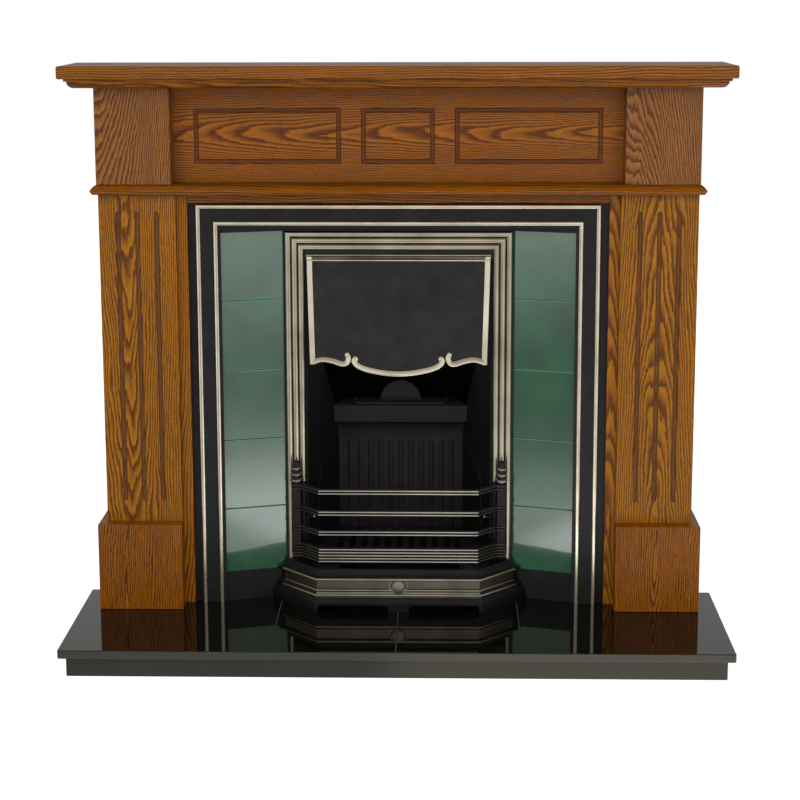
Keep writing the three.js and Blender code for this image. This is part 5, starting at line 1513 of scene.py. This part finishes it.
    def build_strip(self, node: bpy.types.Object, iron: bpy.types.Material) -> None:
        """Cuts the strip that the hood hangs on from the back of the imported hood.

        Args:
            node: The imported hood.
            iron: Finish of the strip.
        """
        bm = eased_copy(node, self.strip_ease)
        bmesh.ops.bisect_plane(
            bm,
            geom=[*bm.verts, *bm.edges, *bm.faces],
            plane_co=self.datum.at(0, self.top_face - self.strip_gap, 0),
            plane_no=TO_ROOM,
            clear_outer=True,
        )
        bmesh.ops.holes_fill(bm, edges=bm.edges, sides=0)
        thing = piece_from(bm, "hood_hanging_strip", [iron])
        put_on(flatten_faces(thing), Body.HOOD)


@dataclass
class TurnedPieces:
    """The finials on the posts and the knob of the ashpan cover."""

    datum: Datum
    finial_radius: float = 13.5
    finial_neck: float = 0.62  # share of the radius
    finial_bright: float = 0.66  # share of the radius outside which the finial is polished
    pin: tuple[float, float] = (4.0, -8.0)  # radius, and foot inside the post
    collar: tuple[float, float] = (0.3, 2.4)  # foot and top of the collar on the post
    rings: Points = ((6.5, 1.0), (19.5, 0.94), (32.5, 0.86))  # middle, and share of the radius
    ring_round: tuple[float, float] = (3.6, 4.2)  # half the depth and height of a ring's edge
    ring_turns: tuple[float, ...] = (-90, -67.5, -45, -22.5, 0, 22.5, 45, 67.5, 90)
    waist: tuple[float, float] = (5.0, 8.2)  # foot and top of the waist over a ring's middle
    cap_share: float = 0.92  # of the neck
    cap_height: float = 46.0
    cap_dome: float = 5.0
    post_top: float = 263.0
    knob_radius: float = 13.4
    knob_dome: float = 4.0
    knob_edge: tuple[float, float] = (0.6, 5.6)  # in from the radius, and behind the face
    knob_back: Points = ((6.0, 8.4), (7.0, 11.5), (4.0, 11.7))  # radius, and behind the face

    def build(self) -> None:
        """Builds both finials and the knob in place of their nodes."""
        polished = SMOKED.material("polished_finial_iron")
        satin = SATIN.material("satin_knob_iron")
        iron = IRON.material("blacked_turned_iron")
        for side in SIDES:
            low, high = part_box(f"finial_{side}")
            middle = (low + high) / 2
            foot = Vector((middle.x, middle.y, self.datum.seat + self.post_top * MM))
            bm = turned(self.finial_profile(), foot, UP)
            for face in bm.faces:
                centre = face.calc_center_median()
                radius = math.hypot(centre.x - foot.x, centre.y - foot.y) / MM
                face.material_index = 0 if radius > self.finial_radius * self.finial_bright else 1
            thing = piece_from(bm, f"turned_finial_{side}", [polished, iron])
            put_on(thing, Body.BARS, [f"finial_{side}"])
        low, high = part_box("cover_knob")
        foot = Vector(((low.x + high.x) / 2, low.y, (low.z + high.z) / 2))
        bm = turned(self.knob_profile((high.y - low.y) / MM), foot, -TO_ROOM)
        put_on(piece_from(bm, "turned_cover_knob", [satin]), Body.COVER, ["cover_knob"])

    def finial_profile(self) -> Profile:
        """Draws three rings of falling size under a plain cap.

        Returns:
            Points as (radius, height over the post).
        """
        neck = self.finial_radius * self.finial_neck
        (pin, pin_foot), (low, high) = self.pin, self.collar
        points = [(0.0, pin_foot), (pin, pin_foot), (pin, low), (neck, low), (neck, high)]
        deep, tall = self.ring_round
        for middle, share in self.rings:
            core = self.finial_radius * share - deep
            for turn in map(math.radians, self.ring_turns):
                points.append((core + deep * math.cos(turn), middle + tall * math.sin(turn)))
            points += [(neck, middle + height) for height in self.waist]
        cap, foot, dome = neck * self.cap_share, self.cap_height, self.cap_dome
        points.append((cap, foot))
        turns = [math.radians(turn) for turn in (20, 45, 70)]
        points += [(cap * math.cos(turn), foot + dome * math.sin(turn)) for turn in turns]
        return [*points, (0.0, foot + dome)]

    def knob_profile(self, length: float) -> Profile:
        """Draws the knob's domed face, its edge, its waist and its stem.

        Args:
            length: Length of the knob with its stem.

        Returns:
            Points as (radius, distance behind the face), from the front backwards.
        """
        radius, dome = self.knob_radius, self.knob_dome
        turns = [math.radians(turn) for turn in range(0, 91, 10)]
        face = [(radius * math.sin(turn), dome - dome * math.cos(turn)) for turn in turns]
        edge = (radius - self.knob_edge[0], self.knob_edge[1])
        return [*face, edge, *self.knob_back, (self.knob_back[-1][0], length), (0.0, length)]


# ------------------------------------------------------------------ studio


@dataclass(frozen=True)
class PhotoCamera:
    """The photograph's camera, fitted to the corners of the fireplace."""

    across: float = 91.2
    out: float = 3838.8
    up: float = 1315.2
    pitch: float = 9.878  # degrees down
    yaw: float = 1.306  # degrees to the left
    roll: float = 0.132
    focal_pixels: float = 1803.2
    shift: float = -0.12

    def build(self, datum: Datum) -> None:
        """Makes the camera and looks through it.

        Args:
            datum: The frame's fixed places, from which the camera's is measured.
        """
        data = bpy.data.cameras.new("photo_camera")
        data.sensor_fit = "HORIZONTAL"
        data.sensor_width = SENSOR_WIDTH
        data.lens = SENSOR_WIDTH * self.focal_pixels / PHOTO_PIXELS
        data.shift_y = self.shift
        camera = bpy.data.objects.new("photo_camera", data)
        camera.location = datum.at(self.across, self.out, self.up)
        camera.rotation_euler = [math.radians(turn) for turn in (90 - self.pitch, self.roll, self.yaw)]
        bpy.context.scene.collection.objects.link(camera)
        bpy.context.scene.camera = camera


@dataclass(frozen=True)
class SoftBox:
    """One soft studio lamp. Its place, aim and size are in metres and its power in watts."""

    name: str
    place: tuple[float, float, float]
    aim: tuple[float, float, float]
    size: tuple[float, float]
    power: float

    def build(self) -> None:
        """Hangs the lamp."""
        data = bpy.data.lights.new(self.name, "AREA")
        data.shape = "RECTANGLE"
        data.size, data.size_y = self.size
        data.energy = self.power
        lamp = bpy.data.objects.new(self.name, data)
        lamp.location = self.place
        lamp.visible_glossy = False
        beam = Vector(self.aim) - Vector(self.place)
        lamp.rotation_euler = beam.to_track_quat("-Z", "Y").to_euler()
        bpy.context.scene.collection.objects.link(lamp)


@dataclass(frozen=True)
class Studio:
    """A pale floor, a white surrounding that camera and mirror rays see, and soft lamps."""

    floor_tone: str = "#e6e6e4"
    floor_roughness: float = 0.7
    floor_half: float = 9.0  # metres
    floor_drop: float = 0.5
    floor_glow: float = 0.75
    floor_mirrored: float = 1.97  # how bright polished things see it, at most
    pool_right: float = 0.22  # metres that the bright pool lies to the right
    reach: float = 10.0  # metres of floor that the next two ramps span
    pool: Points = (
        (0, 1.0),
        (0.085, 1.0),
        (0.14, 0.4),
        (0.2, 0.23),
        (0.25, 0.21),
        (0.39, 0.35),
        (0.6, 0.46),
        (1, 0.46),
    )  # brightness in a mirror, from the middle of the pool outwards
    shade: Points = ((0, 1.0), (0.2, 1.0), (0.36, 0.5), (0.472, 0.5), (0.482, 1.0), (1, 1.0))  # from the left
    sky: Points = ((0.0, 1.0), (0.2, 0.8), (0.55, 0.3), (1.0, 0.6))  # brightness in a mirror, upwards
    ambient: float = 0.42
    lamps: tuple[SoftBox, ...] = (
        SoftBox("key_softbox", (-1.7, -3.4, 2.7), (0, 0, 0.65), (2.4, 1.8), 62.0),
        SoftBox("fill_softbox", (2.1, -3.2, 2.1), (0, 0, 0.6), (2.2, 1.8), 40.0),
        SoftBox("front_softbox", (0.2, -4.6, 0.9), (0, 0, 0.5), (2.6, 1.6), 26.0),
    )

    def build(self) -> None:
        """Builds the floor, the world and the lamps."""
        self.build_floor()
        self.build_world()
        for lamp in self.lamps:
            lamp.build()
        bpy.context.scene.view_settings.view_transform = "Standard"

    @staticmethod
    def seen_directly(add: Adder) -> Socket:
        """Whether a ray comes straight from the camera, or through glass."""
        rays = add(Kind.LIGHT_PATH)
        return add(Kind.MATH, (rays["Is Camera Ray"], rays["Is Transmission Ray"]), operation="MAXIMUM")[0]

    def build_floor(self) -> None:
        """Builds the floor just under the object."""
        bm = bmesh.new()
        bmesh.ops.create_grid(bm, x_segments=1, y_segments=1, size=self.floor_half)
        floor = piece_from(bm, "studio_floor", [self.floor_material()])
        floor.location.z = -self.floor_drop * MM

    def floor_material(self) -> bpy.types.Material:
        """Makes the floor's finish: matt to the eye, a lit studio floor to a mirror.

        Returns:
            The material.
        """
        material, add = new_material("pale_floor")
        glow = add(Kind.MATH, (self.seen_directly(add), self.floor_glow), operation="MULTIPLY")[0]
        matt = {"Base Color": colour(self.floor_tone), "Roughness": self.floor_roughness}
        lit = {"Emission Color": WHITE, "Emission Strength": glow}
        plain = add(Kind.SURFACE, matt | lit)["BSDF"]
        middle = {"Vector": add(Kind.COORDINATES)["Object"], "Location": (-self.pool_right, 0, 0)}
        place = add(Kind.MAPPING, middle)["Vector"]
        away = add(Kind.VECTOR_MATH, (place,), operation="LENGTH")["Value"]
        away = add(Kind.MATH, (away, 1 / self.reach), operation="MULTIPLY")[0]
        sideways = add(Kind.SEPARATE, (place,))["X"]
        sideways = add(Kind.MATH, (sideways, 1 / self.reach, 0.5), operation="MULTIPLY_ADD")[0]
        pool = add(Kind.RAMP, (away,), self.pool)[0]
        shade = add(Kind.RAMP, (sideways,), self.shade)[0]
        tones = {SHARE: 1.0, LOW: pool, HIGH: shade}
        bright = add(Kind.MIX, tones, data_type="RGBA", blend_type="MULTIPLY")[MIXED]
        mirrored = add(Kind.EMISSION, {"Color": bright, "Strength": self.floor_mirrored})["Emission"]
        both = add(Kind.MIX_SHADER, (add(Kind.LIGHT_PATH)["Is Glossy Ray"], plain, mirrored))["Shader"]
        add(Kind.MATERIAL_OUTPUT, {"Surface": both})
        return material

    def build_world(self) -> None:
        """Builds the surrounding: white to the eye, softly lit walls to a mirror."""
        world = bpy.data.worlds.new("studio")
        bpy.context.scene.world = world
        world.use_nodes = True
        world.node_tree.nodes.clear()
        add = partial(add_node, world.node_tree)
        height = add(Kind.SEPARATE, (add(Kind.COORDINATES)["Generated"],))["Z"]
        mirrored = add(Kind.RAMP, (height,), self.sky)[0]
        is_glossy = add(Kind.LIGHT_PATH)["Is Glossy Ray"]
        dim = (self.ambient,) * 3 + (1.0,)
        light = add(Kind.MIX, {SHARE: is_glossy, LOW: dim, HIGH: mirrored}, data_type="RGBA")[MIXED]
        tones = {SHARE: self.seen_directly(add), LOW: light, HIGH: WHITE}
        light = add(Kind.MIX, tones, data_type="RGBA")[MIXED]
        sky = add(Kind.BACKGROUND, {"Color": light, "Strength": 1.0})["Background"]
        add(Kind.WORLD_OUTPUT, {"Surface": sky})


# ------------------------------------------------------------------ the whole


def named(nodes: Nodes, *prefixes: str) -> Nodes:
    """The nodes whose names start with one of the prefixes."""
    return {name: node for name, node in nodes.items() if name.startswith(prefixes)}


def main() -> None:
    """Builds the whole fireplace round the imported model, and the studio."""
    logging.basicConfig(level=logging.INFO, format="%(name)s: %(message)s")
    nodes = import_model()["nodes"]
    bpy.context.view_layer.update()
    datum = Datum.read()
    PhotoCamera().build(datum)
    Hearth(named(nodes, "hearth")).build()
    OakSurround(nodes).build()
    Castings(nodes).build()
    Tiles(named(nodes, "tile_left", "tile_right")).build()
    PolishedLines(datum).build()
    Hood(datum).build(nodes["hood"])
    TurnedPieces(datum).build()
    Studio().build()


if __name__ == "__main__":
    main()
